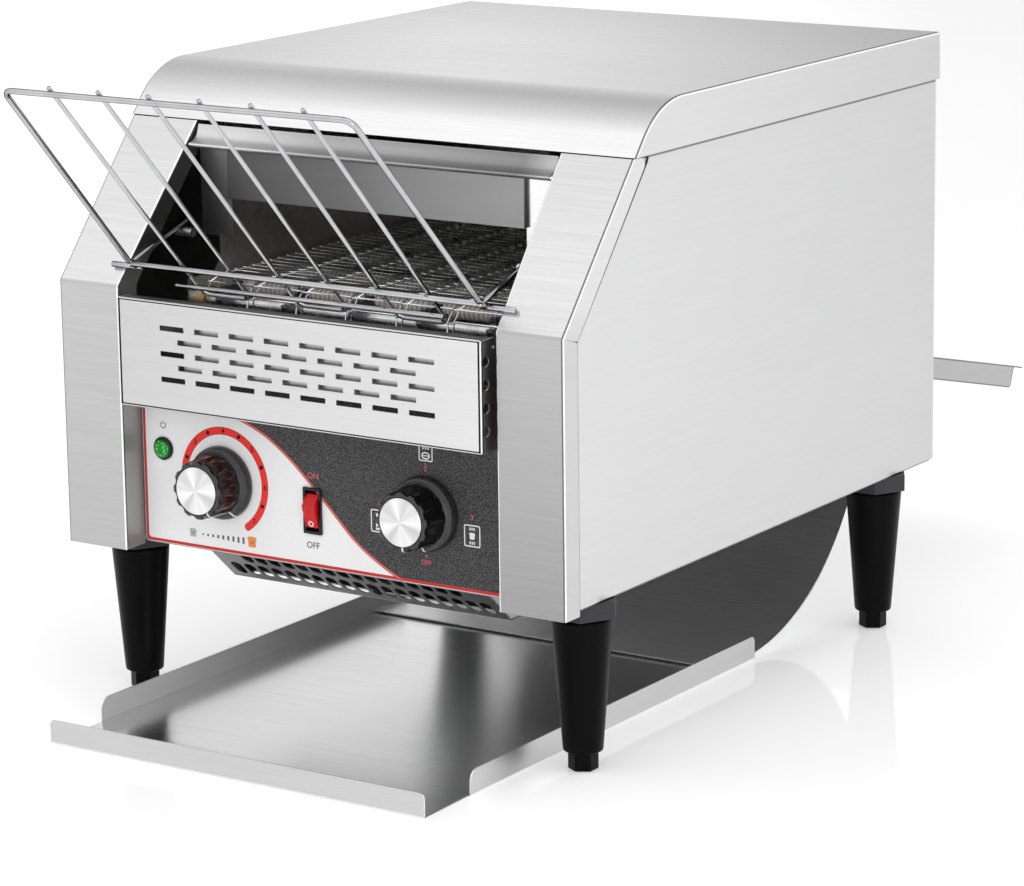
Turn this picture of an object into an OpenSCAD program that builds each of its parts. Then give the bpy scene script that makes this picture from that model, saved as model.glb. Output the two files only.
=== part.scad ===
// Conveyor toaster, counter-top, sheet-metal body on four cone legs.
// Millimetres, +Z up, the operator's side faces -Y.
// Every module is drawn with y = 0 at the front plane of the columns and is
// moved by y_mid, so that the origin is under the middle of the whole toaster.

/* [Body] */
// Width of the body over the side panels
body_w = 368; // [360:1:380]
// Depth from the front columns to the back panel
body_d = 454; // [446:1:470]
// Height of the underside of the front columns
body_z = 103; // [101:0.5:104]
// Height of the kink where the front columns start to lean back
kink_z = 269.2; // [267:0.2:272]
// Height of the lower edge of the lid
lid_z = 361.7; // [360:0.1:364]
// Distance the lid's front edge lies behind the columns
lid_y = 77.9; // [76:0.1:80]
// Height of the top of the lid
top_z = 392.5; // [391:0.1:394]
// Radius of the bend at the front of the lid
lid_r = 58; // [54:1:60]
// Thickness of the sheet metal
sheet = 1; // [0.8:0.1:1]
// Width of each front column
col_w = 46; // [44:0.5:48]

/* [Controls] */
// Distance of each knob from the middle of the panel
knob_x = 75.5; // [72:0.5:80]
// Height of the knobs
knob_z = 150.4; // [148:0.1:153]
// Depth of the control panel behind the columns
panel_y = 18; // [17.5:0.5:18]
// Radius of the knobs' aluminium caps
cap_r = 15; // [13:0.5:15.5]

/* [Conveyor] */
// Distance between the chamber walls' middle and the toaster's middle
wall_x = 119.5; // [119:0.5:120]
// Height of the two belt shafts
shaft_z = 252; // [251:0.5:253]
// Position of the front belt shaft
idler_y = 64; // [62:1:66]
// Position of the rear belt shaft
drive_y = 392; // [390:1:394]
// Outer radius of the belt where it goes round its rollers
belt_r = 18; // [18:0.5:18.5]
// Radius of the belt shafts
shaft_r = 5; // [5:0.5:5.5]

/* [Legs] */
// Distance of the legs from the middle
leg_x = 165.4; // [163:0.2:167]
// Position of the front legs
leg_y1 = 46.7; // [46:0.1:50]
// Position of the rear legs
leg_y2 = 406.6; // [402:0.2:410]
// Radius of the levelling screw of each foot
stud_r = 4; // [3:0.5:4]

/* [Rack and trays] */
// Radius of the rack's frame rod
rod_r = 1.65; // [1.5:0.05:1.8]
// Radius of the rack's guide wires
wire_r = 1.1; // [0.9:0.05:1.2]
// Half the width of the toast tray
tray_x = 138; // [137:0.5:138.5]
// Radius of the curved toast chute
chute_r = 165; // [164:0.5:165]

/* [Hidden] */

steel = [0.83, 0.83, 0.84];
dark = [0.2, 0.2, 0.21];
blk = [0.06, 0.06, 0.065];
hw = body_w / 2;

// rack: top bar, bottom bar, arm end and stubs as [y, z]
rk_top = [-114.8, 404.6];
rk_bot = [0.7, 284.1];
rk_arm = [58, 302.5];
rk_sup = [7.6, 280.8];
rk_xt = 123.4;
rk_xb = 127.9;
// rear deflector
df_x = 158;
df_root = [454.9, 174.5];
df_end = [641, 130.7];
y_mid = (df_end[0] + rk_top[0] - rod_r) / 2;
// supply cable gland, beside the rear deflector
gland_x = -168;

// slanted line of the columns as [y, z]
kink = [0, kink_z];
ltop = [lid_y, lid_z];
sdir = (ltop - kink) / norm(ltop - kink);
// centre and start angle of the lid's bend
lc = let (a = atan2(sdir[0], sdir[1]),
          p0 = [lid_r * cos(a), 0],
          z0 = top_z - lid_r,
          ey = sdir[1], ez = sdir[0],
          ez1 = z0 + lid_r * ez,
          ey1 = lid_y + (ez1 - lid_z) * sdir[0] / sdir[1])
     [ey1 + lid_r * ey, z0];
la = atan2(sdir[0], -sdir[1]);

// ---- helpers ----
module place() { translate([0, -y_mid, 0]) children(); }
// a [y, z] outline drawn out along x
module yz(x0, x1) { translate([x0, 0, 0]) rotate([90, 0, 90]) linear_extrude(x1 - x0) children(); }
// an [x, z] outline drawn out along y
module xz(y0, y1) { translate([0, y1, 0]) rotate([90, 0, 0]) linear_extrude(y1 - y0) children(); }
module box(x0, x1, y0, y1, z0, z1) { translate([x0, y0, z0]) cube([x1 - x0, y1 - y0, z1 - z0]); }
module both() { children(); mirror([1, 0, 0]) children(); }
// cylinder along x, along y
module cx(x0, x1, y, z, r, fn = 48) { translate([x0, y, z]) rotate([0, 90, 0]) cylinder(h = x1 - x0, r = r, $fn = fn); }
module cy(x, y0, y1, z, r, fn = 48) { translate([x, y1, z]) rotate([90, 0, 0]) cylinder(h = y1 - y0, r = r, $fn = fn); }
module cz(x, y, z0, z1, r, fn = 48) { translate([x, y, z0]) cylinder(h = z1 - z0, r = r, $fn = fn); }
function nrm(a, b) = let (d = (b - a) / norm(b - a)) [-d[1], d[0]];
// a path moved sideways by t, mitred at its corners
function offp(p, t) = [for (i = [0 : len(p) - 1])
    let (k = len(p) - 1,
         n0 = i > 0 ? nrm(p[i - 1], p[i]) : nrm(p[0], p[1]),
         n1 = i < k ? nrm(p[i], p[i + 1]) : nrm(p[k - 1], p[k]),
         m = n0 + n1) p[i] + m * (2 * t / (m * m))];
function rev(p) = [for (i = [len(p) - 1 : -1 : 0]) p[i]];
function arc(c, r, a0, a1, n) = [for (i = [0 : n])
    let (a = a0 + (a1 - a0) * i / n) c + r * [cos(a), sin(a)]];
// a folded strip of thickness t along the path p
module strip(p, t) { polygon(concat(p, rev(offp(p, t)))); }
// outline of a loop round two equal wheels at a and b
function loop2(a, b, r, n) = let (w = atan2(b[1] - a[1], b[0] - a[0]))
    concat(arc(a, r, w + 90, w + 270, n), arc(b, r, w - 90, w + 90, n));
// toothed wheel outline
function teeth(n, r0, r1) = [for (i = [0 : n - 1], k = [0 : 3])
    let (a = (i + [0, 0.28, 0.42, 0.58][k]) * 360 / n + 0, r = k == 0 || k == 1 ? r0 : r1,
         b = k == 0 ? a - 0.14 * 360 / n : a) r * [cos(b), sin(b)]];
// straight rod between two points
module rod(a, b, r) {
    d = b - a; l = norm(d);
    translate(a) rotate([0, acos(d[2] / l), atan2(d[1], d[0])])
        cylinder(h = l, r = r, $fn = 32);
}

lid_path = concat(arc(lc, lid_r, la, 90, 14));
body_path = concat([[0, 105.5], kink], lid_path);

// ---- body ----
module base_plate() {
    color(steel) place() difference() {
        box(-hw + 2.1, hw - 2.1, panel_y + 1.5, body_d - 1.6, 106.6, 107.8);
        box(-tray_x - 3, tray_x + 3, 297, 443.5, 106, 109);
        for (x = [-leg_x, leg_x], y = [leg_y1, leg_y2]) cz(x, y, 106, 109, 4.2);
        cz(0, 86, 106, 109, 43);
        for (i = [0 : 7]) box(-60 + i * 16, -52 + i * 16, 160, 250, 106, 109);
    }
}

module side_panel() {
    q = offp(body_path, -1.4);
    difference() {
        union() {
            yz(hw - 2, hw - 1) polygon(concat(q, [[body_d - 1.5, top_z - 1.4], [body_d - 1.5, 105.5]]));
            // lower flange carrying the base plate
            box(hw - 14, hw - 1.5, 3, body_d - 1.6, 105.5, 106.5);
        }
        for (y = [leg_y1, leg_y2]) cz(leg_x, y, 105, 107, 4.6);
    }
}
module side_panel_right() { color(steel) place() side_panel(); }
module side_panel_left() { color(steel) place() mirror([1, 0, 0]) side_panel(); }

module front_column() {
    xi = hw - col_w;
    p = [[0, body_z], kink, ltop];
    difference() {
        union() {
            // front and slanted faces, folded at the kink
            yz(xi - 4.6, hw - 0.9) strip(p, -sheet);
            // strip that wraps on to the side
            yz(hw - 0.95, hw) polygon([[0, body_z], kink, ltop, [lid_y + 14, lid_z - 0.2],
                [lid_y + 15.4, lid_z - 2.6], [15.5, kink_z - 4.4], [15.5, body_z]]);
            // inner return, behind the front face
            yz(xi, xi + sheet) polygon([[0.5, body_z], [0.5, kink_z - 0.3], ltop + [-0.5, -0.9],
                ltop + [15, -3], [panel_y, kink_z - 2], [panel_y, body_z]]);
        }
        // the opening between the columns narrows a little towards the lid
        xz(-5, 200) polygon([[xi - 10, body_z - 5], [xi, body_z - 5], [xi, kink_z],
            [xi - 4.4, lid_z + 0.1], [xi - 10, lid_z + 0.1]]);
        // mitre seam across the side strip
        yz(hw - 0.25, hw + 1) polygon([[0, kink_z + 0.15], [15.6, kink_z - 4.25], [15.6, kink_z - 4.55], [0, kink_z - 0.15]]);
    }
}
module front_column_right() { color(steel) place() front_column(); }
module front_column_left() { color(steel) place() mirror([1, 0, 0]) front_column(); }

module top_lid() {
    p = concat([ltop], lid_path, [[body_d + 1.5, top_z], [body_d + 1.5, lid_z]]);
    color(steel) place() union() {
        yz(-hw - 1.5, hw + 1.5) strip(p, -sheet);
        both() yz(hw + 0.5, hw + 1.5) polygon(p);
    }
}

module back_panel() {
    color(steel) place() difference() {
        union() {
            box(-hw + 2.1, hw - 2.1, body_d - 1.4, body_d - 0.4, 107.9, 390);
            // stiffening lip along the lower edge
            box(-hw + 2.1, hw - 2.1, body_d - 6, body_d - 1.2, 107.9, 108.9);
        }
        // louvre slots high up, where the heat leaves
        for (i = [0 : 7], s = [-1, 1]) box(s * 75 - 45, s * 75 + 45, body_d - 3, body_d + 1, 292 + i * 8, 295.5 + i * 8);
        // supply cable hole
        cy(gland_x, body_d - 3, body_d + 1, 135, 8);
        for (s = [-1, 1]) cy(s * 120, body_d - 3, body_d + 1, 183, 2.1);
    }
}

module header_band() {
    a = [76.7, 358.4]; b = [66.4, 348.2];
    p = concat([[84.9, 355.2], a], [for (i = [1 : 7]) let (t = i / 8) a + (b - a) * t + [0.72, -0.7] * 2.6 * sin(180 * t)],
               [b, [67.4, 345.9], [73, 345.3]]);
    color(steel) place() yz(-132.6, 132.6) strip(p, 0.6);
}

module entry_baffle() {
    color([0.62, 0.62, 0.63]) place() union() {
        box(-115.5, 115.5, 75, 76, 314.5, 352);
        box(-115.5, 115.5, 75.5, 84, 314.5, 315.5);
        // tabs to the chamber walls
        both() box(114.5, wall_x - 0.6, 83, 84, 314.5, 343);
        both() box(114.5, 115.5, 75.5, 83.5, 314.5, 343);
    }
}

module slotted_guard() {
    color(steel) place() difference() {
        union() {
            difference() {
                box(-133, 133, -7.5, 12, 197.5, 264.8);
                box(-132, 132, -6.5, 13, 198.5, 263.8);
                box(-134, 134, 0.5, 13, 196, 200);
                box(-134, 134, 0.5, 13, 262, 266);
                both() xz(0, 13) polygon([[131, 260], [134, 260], [134, 266], [131, 266]]);
            }
            // lining plate that keeps crumbs off the slots
            box(-86, 126, -3.4, -2.6, 219, 264.2);
        }
        for (r = [0 : 4]) let (n = r % 2 == 0 ? 8 : 7)
            for (i = [0 : n - 1]) let (x = (i - (n - 1) / 2) * 26.1)
                box(x - 9.1, x + 9.1, -9, -5, 246.9 - r * 7.9, 250.1 - r * 7.9);
        for (i = [0 : 3]) cx(-140, 140, -2.6, 251.4 - i * 13.75, 3.2);
    }
}

module control_panel() {
    color(dark) place() difference() {
        union() {
            box(-hw + col_w, hw - col_w, panel_y + 0.05, panel_y + 1.25, 104, 258);
            // upper and lower flanges
            box(-hw + col_w, hw - col_w, panel_y + 0.05, panel_y + 14, 104, 105.2);
            box(-hw + col_w, hw - col_w, panel_y + 0.05, panel_y + 12, 256.8, 258);
        }
        for (s = [-1, 1]) cy(s * knob_x, panel_y - 1, panel_y + 3, knob_z, 4.8);
        cy(-120.5, panel_y - 1, panel_y + 3, 166.4, 6);
        box(-7.2 - 5.7, -7.2 + 5.7, panel_y - 1, panel_y + 3, 141.2 - 13.1, 141.2 + 13.1);
    }
}

module control_overlay() {
    color([0.9, 0.9, 0.9]) place() difference() {
        box(-136.8, 136.8, panel_y - 0.35, panel_y, 106, 232);
        for (s = [-1, 1]) cy(s * knob_x, panel_y - 1, panel_y + 3, knob_z, 4.8);
        cy(-120.5, panel_y - 1, panel_y + 3, 166.4, 6);
        box(-7.2 - 5.7, -7.2 + 5.7, panel_y - 1, panel_y + 3, 141.2 - 13.1, 141.2 + 13.1);
    }
}

// open-topped trough under the base, with a perforated sloping front
module air_inlet_box() {
    p = [[24, 105.5], [32.4, 105.5], [63.5, 77.5], [124, 77.5], [129.8, 105.5], [138, 105.5]];
    x1 = 104;
    color(steel) place() difference() {
        union() {
            yz(-x1, x1) strip(p, 1);
            both() yz(x1 - 1, x1) polygon([p[1], p[2], p[3], p[4]]);
        }
        // 19 slots below, 16 above them between the others
        for (r = [0, 1], i = [0 : 18 - 3 * r])
            translate([(i - 9 + 1.5 * r) * 10.38, 54.63 - r * 11.92, 85.44 + r * 10.67])
                rotate([-41.8, 0, 0]) translate([0, 0, -3]) linear_extrude(6)
                    hull() { translate([0, 3.3]) circle(4, $fn = 24); translate([0, -3.3]) circle(4, $fn = 24); }
        // openings in the floor
        for (s = [-1, 1]) box(s * 50.5 - 46, s * 50.5 + 46, 67, 80, 76, 80);
    }
}

// ---- chamber ----
module wall_shape() {
    difference() {
        polygon([[50, 108], [434, 108], [434, 176], [446, 200], [446, 361], [88, 361],
            [79, 344], [79, 276], [72, 269], [46, 268], [44, 236], [50, 226]]);
        translate([idler_y, shaft_z]) circle(r = 9, $fn = 48);
        translate([drive_y, shaft_z]) circle(r = 9, $fn = 48);
    }
}
module chamber_wall() {
    yz(wall_x - 0.5, wall_x + 0.5) wall_shape();
    // flange that closes the gap beside the column
    box(wall_x - 0.5, 133, 79, 80, 290, 343);
}
module chamber_wall_right() { color([0.7, 0.7, 0.71]) place() chamber_wall(); }
module chamber_wall_left() { color([0.7, 0.7, 0.71]) place() mirror([1, 0, 0]) chamber_wall(); }

module upper_reflector() {
    w = wall_x - 0.6;
    color([0.75, 0.75, 0.76]) place() yz(-w, w)
        strip([[88, 334], [92, 344], [118, 350], [392, 350], [418, 344], [422, 334]], -0.8);
}

module lower_heat_shield() {
    w = wall_x - 0.6;
    color([0.75, 0.75, 0.76]) place() difference() {
        union() {
            box(-w, w, 46, 404, 222, 223);
            both() box(w - 1, w, 46, 404, 222.5, 229);
        }
    }
}

module compartment_wall() {
    w = wall_x - 0.6;
    color([0.75, 0.75, 0.76]) place() union() {
        box(-w, w, 291, 292, 108, 221.9);
        box(-w, w, 283, 291.5, 108, 109);
    }
}

module tubes(z, ys) { for (y = ys) cx(-wall_x + 6, wall_x - 6, y, z, 5); }
up_y = [125, 190, 255, 320, 385];
lo_y = [110, 165, 220, 275, 330];
module upper_heater_tubes() { color([0.9, 0.88, 0.84]) place() tubes(326, up_y); }
module lower_heater_tubes() { color([0.9, 0.88, 0.84]) place() tubes(shaft_z, lo_y); }
module heater_end_caps() {
    color([0.92, 0.9, 0.85]) place() both() {
        for (y = up_y) cx(wall_x - 5.95, wall_x - 0.6, y, 326, 6.5);
        for (y = lo_y) cx(wall_x - 5.95, wall_x - 0.6, y, shaft_z, 6.5);
    }
}

// ---- conveyor ----
module conveyor_belt() {
    a = [idler_y, shaft_z]; b = [drive_y, shaft_z];
    color([0.35, 0.35, 0.36]) place() yz(-112, 112) difference() {
        polygon(loop2(a, b, belt_r, 20));
        polygon(loop2(a, b, belt_r - 2.5, 20));
    }
}
module roller_set(y) {
    for (x = [-100, -50, 0, 50, 100]) difference() {
        yz(x - 2, x + 2) translate([y, shaft_z]) polygon(teeth(10, belt_r - 6.2, belt_r - 3.1));
        cx(x - 3, x + 3, y, shaft_z, shaft_r);
    }
}
module drive_shaft() { color([0.7, 0.7, 0.7]) place() cx(-128, 134, drive_y, shaft_z, shaft_r); }
module idler_shaft() { color([0.7, 0.7, 0.7]) place() cx(-128, 128, idler_y, shaft_z, shaft_r); }
module drive_rollers() { color([0.55, 0.55, 0.55]) place() roller_set(drive_y); }
module idler_rollers() { color([0.55, 0.55, 0.55]) place() roller_set(idler_y); }
// four flanged bushes pressed into the chamber walls
module shaft_bushes() {
    color([0.72, 0.56, 0.3]) place() both() for (y = [idler_y, drive_y]) difference() {
        union() {
            cx(wall_x - 3.5, wall_x + 0.5, y, shaft_z, 9);
            cx(wall_x + 0.5, wall_x + 3.5, y, shaft_z, 12);
        }
        cx(wall_x - 5, wall_x + 5, y, shaft_z, shaft_r + 0.05);
    }
}

mot = [330, 160];
module driven_sprocket() {
    color([0.5, 0.5, 0.5]) place() difference() {
        union() {
            yz(126.5, 129) translate([drive_y, shaft_z]) polygon(teeth(14, 13, 16.4));
            cx(129, 133.5, drive_y, shaft_z, 9);
        }
        cx(120, 140, drive_y, shaft_z, shaft_r);
    }
}
module motor_sprocket() {
    color([0.5, 0.5, 0.5]) place() union() {
        yz(126.5, 129) translate(mot) polygon(teeth(14, 13, 16.4));
        cx(124.5, 132.5, mot[0], mot[1], 7);
        cx(132.5, 140, mot[0], mot[1], 4);
    }
}
module drive_chain() {
    a = mot; b = [drive_y, shaft_z];
    color([0.4, 0.4, 0.41]) place() yz(126, 129.5) difference() {
        polygon(loop2(a, b, 20.2, 20));
        polygon(loop2(a, b, 17, 20));
    }
}
module motor_bracket() {
    color([0.75, 0.75, 0.76]) place() difference() {
        union() {
            box(136, 137.5, 288, 372, 118, 202);
            for (y = [293, 367], z = [123, 197]) cx(wall_x + 0.5, 136.5, y, z, 3.5);
        }
        cx(130, 140, mot[0], mot[1], 9);
    }
}
module gear_motor() {
    color([0.6, 0.6, 0.6]) place() difference() {
        union() {
            cx(137.5, 158, mot[0], mot[1], 32);
            cx(158, 178, mot[0], mot[1], 27);
            for (s = [-1, 1]) box(137.5, 140, mot[0] + s * 34 - 5, mot[0] + s * 34 + 5, mot[1] - 8, mot[1] + 8);
            box(160, 174, mot[0] - 8, mot[0] + 8, mot[1] + 24, mot[1] + 34);
        }
        cx(137, 141, mot[0], mot[1], 4.05);
    }
}

// ---- fan over the air inlet ----
module fan_housing() {
    color(blk) place() difference() {
        union() {
            difference() {
                box(-46, 46, 40, 132, 107.85, 132.85);
                cz(0, 86, 107, 134, 43);
            }
            cz(0, 86, 107.85, 111, 15);
            for (a = [45, 165, 285]) translate([0, 86, 107.85]) rotate([0, 0, a]) translate([12, -2.5, 0]) cube([33, 5, 2.6]);
            cz(0, 86, 110, 122, 2);
        }
        for (x = [-41, 41], y = [45, 127]) cz(x, y, 107, 134, 2.2);
    }
}
module fan_rotor() {
    color([0.12, 0.12, 0.13]) place() difference() {
        union() {
            cz(0, 86, 111.4, 131, 17);
            for (i = [0 : 6]) translate([0, 86, 121.3]) rotate([0, 0, i * 360 / 7])
                translate([15, 0, 0]) rotate([38, 0, 0]) translate([0, -11, -0.8]) cube([26, 22, 1.6]);
        }
        cz(0, 86, 111, 126, 2.05);
    }
}

// ---- controls ----
// knob with a skirt, a scalloped grip and a recess for its metal cap
module knob_body(x) {
    translate([x, panel_y - 0.8, knob_z]) rotate([90, 0, 0]) difference() {
        union() {
            cylinder(h = 2.2, r = 22.9, $fn = 72);
            translate([0, 0, 2.2]) cylinder(h = 4.8, r1 = 22.9, r2 = 19.4, $fn = 72);
            translate([0, 0, 7]) cylinder(h = 19.2, r = 18.2, $fn = 72);
        }
        for (i = [0 : 11]) rotate([0, 0, 15 + i * 30]) translate([21.3, 0, 7.6]) cylinder(h = 20, r = 4.1, $fn = 32);
        translate([0, 0, -1]) cylinder(h = 7, r = 8, $fn = 48);
        translate([0, 0, -1]) cylinder(h = 20, r = 3.02, $fn = 32);
        translate([0, 0, 25.2]) cylinder(h = 2, r = cap_r, $fn = 64);
    }
}
module knob_cap(x) {
    translate([x, panel_y - 0.8, knob_z]) rotate([90, 0, 0]) union() {
        translate([0, 0, 25.2]) cylinder(h = 1.4, r = cap_r, $fn = 64);
        translate([0, 0, 26.6]) cylinder(h = 0.6, r1 = cap_r, r2 = cap_r - 0.7, $fn = 64);
    }
}
module spindle(x) { cy(x, panel_y - 17, panel_y + 20, knob_z, 3); }
module speed_knob() { color(blk) place() knob_body(-knob_x); }
module heat_knob() { color(blk) place() knob_body(knob_x); }
module speed_knob_cap() { color([0.85, 0.85, 0.86]) place() knob_cap(-knob_x); }
module heat_knob_cap() { color([0.85, 0.85, 0.86]) place() knob_cap(knob_x); }
module speed_spindle() { color([0.7, 0.7, 0.7]) place() spindle(-knob_x); }
module heat_spindle() { color([0.7, 0.7, 0.7]) place() spindle(knob_x); }

module bush_nut(x) {
    cy(x, panel_y - 4, panel_y + 3, knob_z, 4.5);
    translate([x, panel_y - 0.5, knob_z]) rotate([90, 0, 0]) cylinder(h = 2.4, r = 7, $fn = 6);
}
module speed_potentiometer() {
    color([0.55, 0.55, 0.5]) place() difference() {
        union() {
            bush_nut(-knob_x);
            cy(-knob_x, panel_y + 2, panel_y + 22, knob_z, 14);
            box(-knob_x - 8, -knob_x + 8, panel_y + 3, panel_y + 5, knob_z + 10, knob_z + 22);
        }
        cy(-knob_x, panel_y - 5, panel_y + 21, knob_z, 3.05);
    }
}
module heat_selector_switch() {
    color([0.75, 0.72, 0.62]) place() difference() {
        union() {
            bush_nut(knob_x);
            box(knob_x - 17, knob_x + 17, panel_y + 2, panel_y + 26, knob_z - 17, knob_z + 17);
            for (i = [0 : 3]) box(knob_x - 14 + i * 8, knob_x - 10 + i * 8, panel_y + 8, panel_y + 9, knob_z + 16, knob_z + 25);
        }
        cy(knob_x, panel_y - 5, panel_y + 21, knob_z, 3.05);
    }
}

rkx = -7.2;
rkz = 141.2;
module rocker_bezel() {
    color(blk) place() difference() {
        union() {
            box(rkx - 6.7, rkx + 6.7, panel_y - 2, panel_y - 0.35, rkz - 14.4, rkz + 14.4);
            box(rkx - 5.6, rkx + 5.6, panel_y - 0.6, panel_y + 15, rkz - 13, rkz + 13);
            for (z = [-9, 0, 9]) box(rkx - 2.4, rkx + 2.4, panel_y + 14, panel_y + 21.8, rkz + z - 0.4, rkz + z + 0.4);
        }
        box(rkx - 4.8, rkx + 4.8, panel_y - 5, panel_y + 13, rkz - 12.4, rkz + 12.4);
        cx(rkx - 5.5, rkx + 5.5, panel_y + 2.5, rkz, 1.25);
    }
}
module rocker_button() {
    color([0.8, 0.12, 0.1]) place() union() {
        yz(rkx - 4.6, rkx + 4.6) translate([panel_y + 2.5, rkz])
            polygon([[-3.1, 10.4], [-9, 3.7], [-4.7, -10.3], [1.5, -10.6], [5, -3], [5, 3], [0.5, 10]]);
        cx(rkx - 5.4, rkx + 5.4, panel_y + 2.5, rkz, 1.2);
    }
}
module lamp_bezel() {
    color(blk) place() difference() {
        union() {
            cy(-120.5, panel_y - 1.8, panel_y - 0.35, 166.4, 7.3);
            cy(-120.5, panel_y - 0.6, panel_y + 20, 166.4, 5.9);
            for (s = [-1, 1]) box(-120.5 + s * 2.4 - 0.4, -120.5 + s * 2.4 + 0.4, panel_y + 19.5, panel_y + 26, 164.8, 168);
        }
        cy(-120.5, panel_y - 5, panel_y + 8, 166.4, 5);
    }
}
module lamp_lens() {
    color([0.1, 0.7, 0.25]) place() union() {
        cy(-120.5, panel_y - 2.2, panel_y + 7.9, 166.4, 4.95);
        intersection() {
            translate([-120.5, panel_y + 3.2, 166.4]) sphere(r = 8, $fn = 48);
            cy(-120.5, panel_y - 8, panel_y - 1.85, 166.4, 6.15);
        }
    }
}

// speed board and terminal block on the base plate
module control_electronics() {
    color([0.1, 0.35, 0.2]) place() union() {
        for (x = [-108, -52], y = [180, 240]) cz(x, y, 107.8, 114, 2.5);
        box(-112, -48, 175, 245, 114, 115.6);
        box(-100, -80, 190, 206, 115.6, 130);
        box(-72, -58, 190, 230, 115.6, 122);
        cz(-92, 226, 115.6, 134, 7);
        box(-176, -146, 330, 388, 107.8, 124);
    }
}

module cable_gland() {
    color(blk) place() difference() {
        union() {
            cy(gland_x, body_d - 8, body_d + 8, 135, 7.9);
            translate([gland_x, body_d + 3.6, 135]) rotate([90, 0, 0]) cylinder(h = 4, r = 11, $fn = 6);
            cy(gland_x, body_d + 7, body_d + 14, 135, 6.8);
            translate([gland_x, body_d - 1.4, 135]) rotate([90, 0, 0]) cylinder(h = 4, r = 11, $fn = 6);
        }
        cy(gland_x, body_d - 12, body_d + 20, 135, 4.5);
    }
}

// ---- bread rack ----
rn = let (d = (rk_bot - rk_top) / norm(rk_bot - rk_top)) [-d[1], d[0]];
module v3(x, q) { translate([x, q[0], q[1]]) children(); }
function p3(x, q) = [x, q[0], q[1]];
module rack_frame() {
    color([0.8, 0.8, 0.82]) place() union() {
        rod(p3(-rk_xt, rk_top), p3(rk_xt, rk_top), rod_r);
        rod(p3(-rk_xb, rk_bot), p3(rk_xb, rk_bot), rod_r);
        both() {
            rod(p3(rk_xt, rk_top), p3(rk_xb, rk_bot), rod_r);
            rod(p3(rk_xb, rk_bot), p3(rk_xb, rk_arm), rod_r);
            v3(rk_xt, rk_top) sphere(r = rod_r * 1.08, $fn = 24);
            v3(rk_xb, rk_bot) sphere(r = rod_r * 1.08, $fn = 24);
            // short link to the stub
            rod(p3(rk_xb, rk_bot), p3(rk_xb, rk_sup), rod_r * 0.9);
        }
        // stubs that rest on the slanted faces of the columns
        both() rod(p3(rk_xb - 4, rk_sup), p3(147.4, rk_sup), rod_r);
        // light cross wire under the guide wires
        rod([-98, 7.2, 272.6], [98, 7.2, 272.6], wire_r);
    }
}
// three guide wires, each bent into a long U
module rack_wires() {
    o = rn * (rod_r + wire_r + 0.02);
    d = (rk_bot - rk_top) / norm(rk_bot - rk_top);
    t = rk_top - d * 3 + o;
    b = rk_bot + d * 26 + o;
    color([0.8, 0.8, 0.82]) place() for (x = [-72, 0, 72]) union() {
        rod(p3(x - 18, t), p3(x - 18, b), wire_r);
        rod(p3(x + 18, t), p3(x + 18, b), wire_r);
        rod(p3(x - 18, b), p3(x + 18, b), wire_r);
        v3(x - 18, b) sphere(r = wire_r * 1.1, $fn = 24);
        v3(x + 18, b) sphere(r = wire_r * 1.1, $fn = 24);
    }
}
// pins under the ends of the rack's arms
module rack_support_pins() {
    q = rk_bot + (rk_arm - rk_bot) * 0.9;
    color([0.7, 0.7, 0.7]) place() both() cx(wall_x + 0.5, 133, q[0] + 0.6, q[1] - rod_r - 3.3, 3);
}

// ---- toast tray, chute, deflector ----
module toast_tray() {
    z = 14.8;
    color(steel) place() union() {
        box(-tray_x, tray_x, -79.4, 297, 0, 1);
        xz(-79.4, -78.4) polygon([[-tray_x, 0], [tray_x, 0], [tray_x, z - 3], [tray_x - 0.9, z - 0.9],
            [tray_x - 3, z], [-tray_x + 3, z], [-tray_x + 0.9, z - 0.9], [-tray_x, z - 3]]);
        both() yz(tray_x - 1, tray_x) polygon([[-31.8, 0], [-31.8, 7.5], [-30.4, 11.6], [-27.8, 14.2], [-23.8, 15.5], [291, 15.5],
            [295.5, 14], [297, 10], [297, 0]]);
    }
}
module return_chute() {
    c = [287.5, chute_r + 2];
    x1 = tray_x - 1.4;
    color(steel) place() difference() {
        yz(-x1, x1) strip(concat([[258, 2]], arc(c, chute_r, -90, 0, 28)), 1);
        for (s = [-1, 1]) cy(s * 100, 440, 460, 158, 2.1);
    }
}
module rear_deflector() {
    d = (df_end - df_root) / norm(df_end - df_root);
    n = [d[1], -d[0]];
    color(steel) place() difference() {
        union() {
            yz(-df_x, df_x) strip([df_root + [-1, 16], df_root + [-1, 0], df_end - [0, 0]], 1);
            both() yz(df_x - 1, df_x) polygon([df_root + [-0.5, 0.2], df_end - d * 13.5, df_end - d * 15.5 + n * 12,
                df_end - d * 18.5 + n * 15.6, df_root + [-0.5, -15.4]]);
        }
        for (s = [-1, 1]) cy(s * 120, body_d - 3, body_d + 3, 183, 2.1);
    }
}

// ---- legs ----
module at_legs() { for (x = [-leg_x, leg_x], y = [leg_y1, leg_y2]) translate([x, y, 0]) children(); }
module leg_collars() {
    color([0.28, 0.28, 0.29]) place() at_legs() difference() {
        translate([0, 0, 94.7]) cylinder(h = 10.8, r = 23, $fn = 6);
        translate([0, 0, 90]) cylinder(h = 20, r = 4.2, $fn = 48);
    }
}
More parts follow.
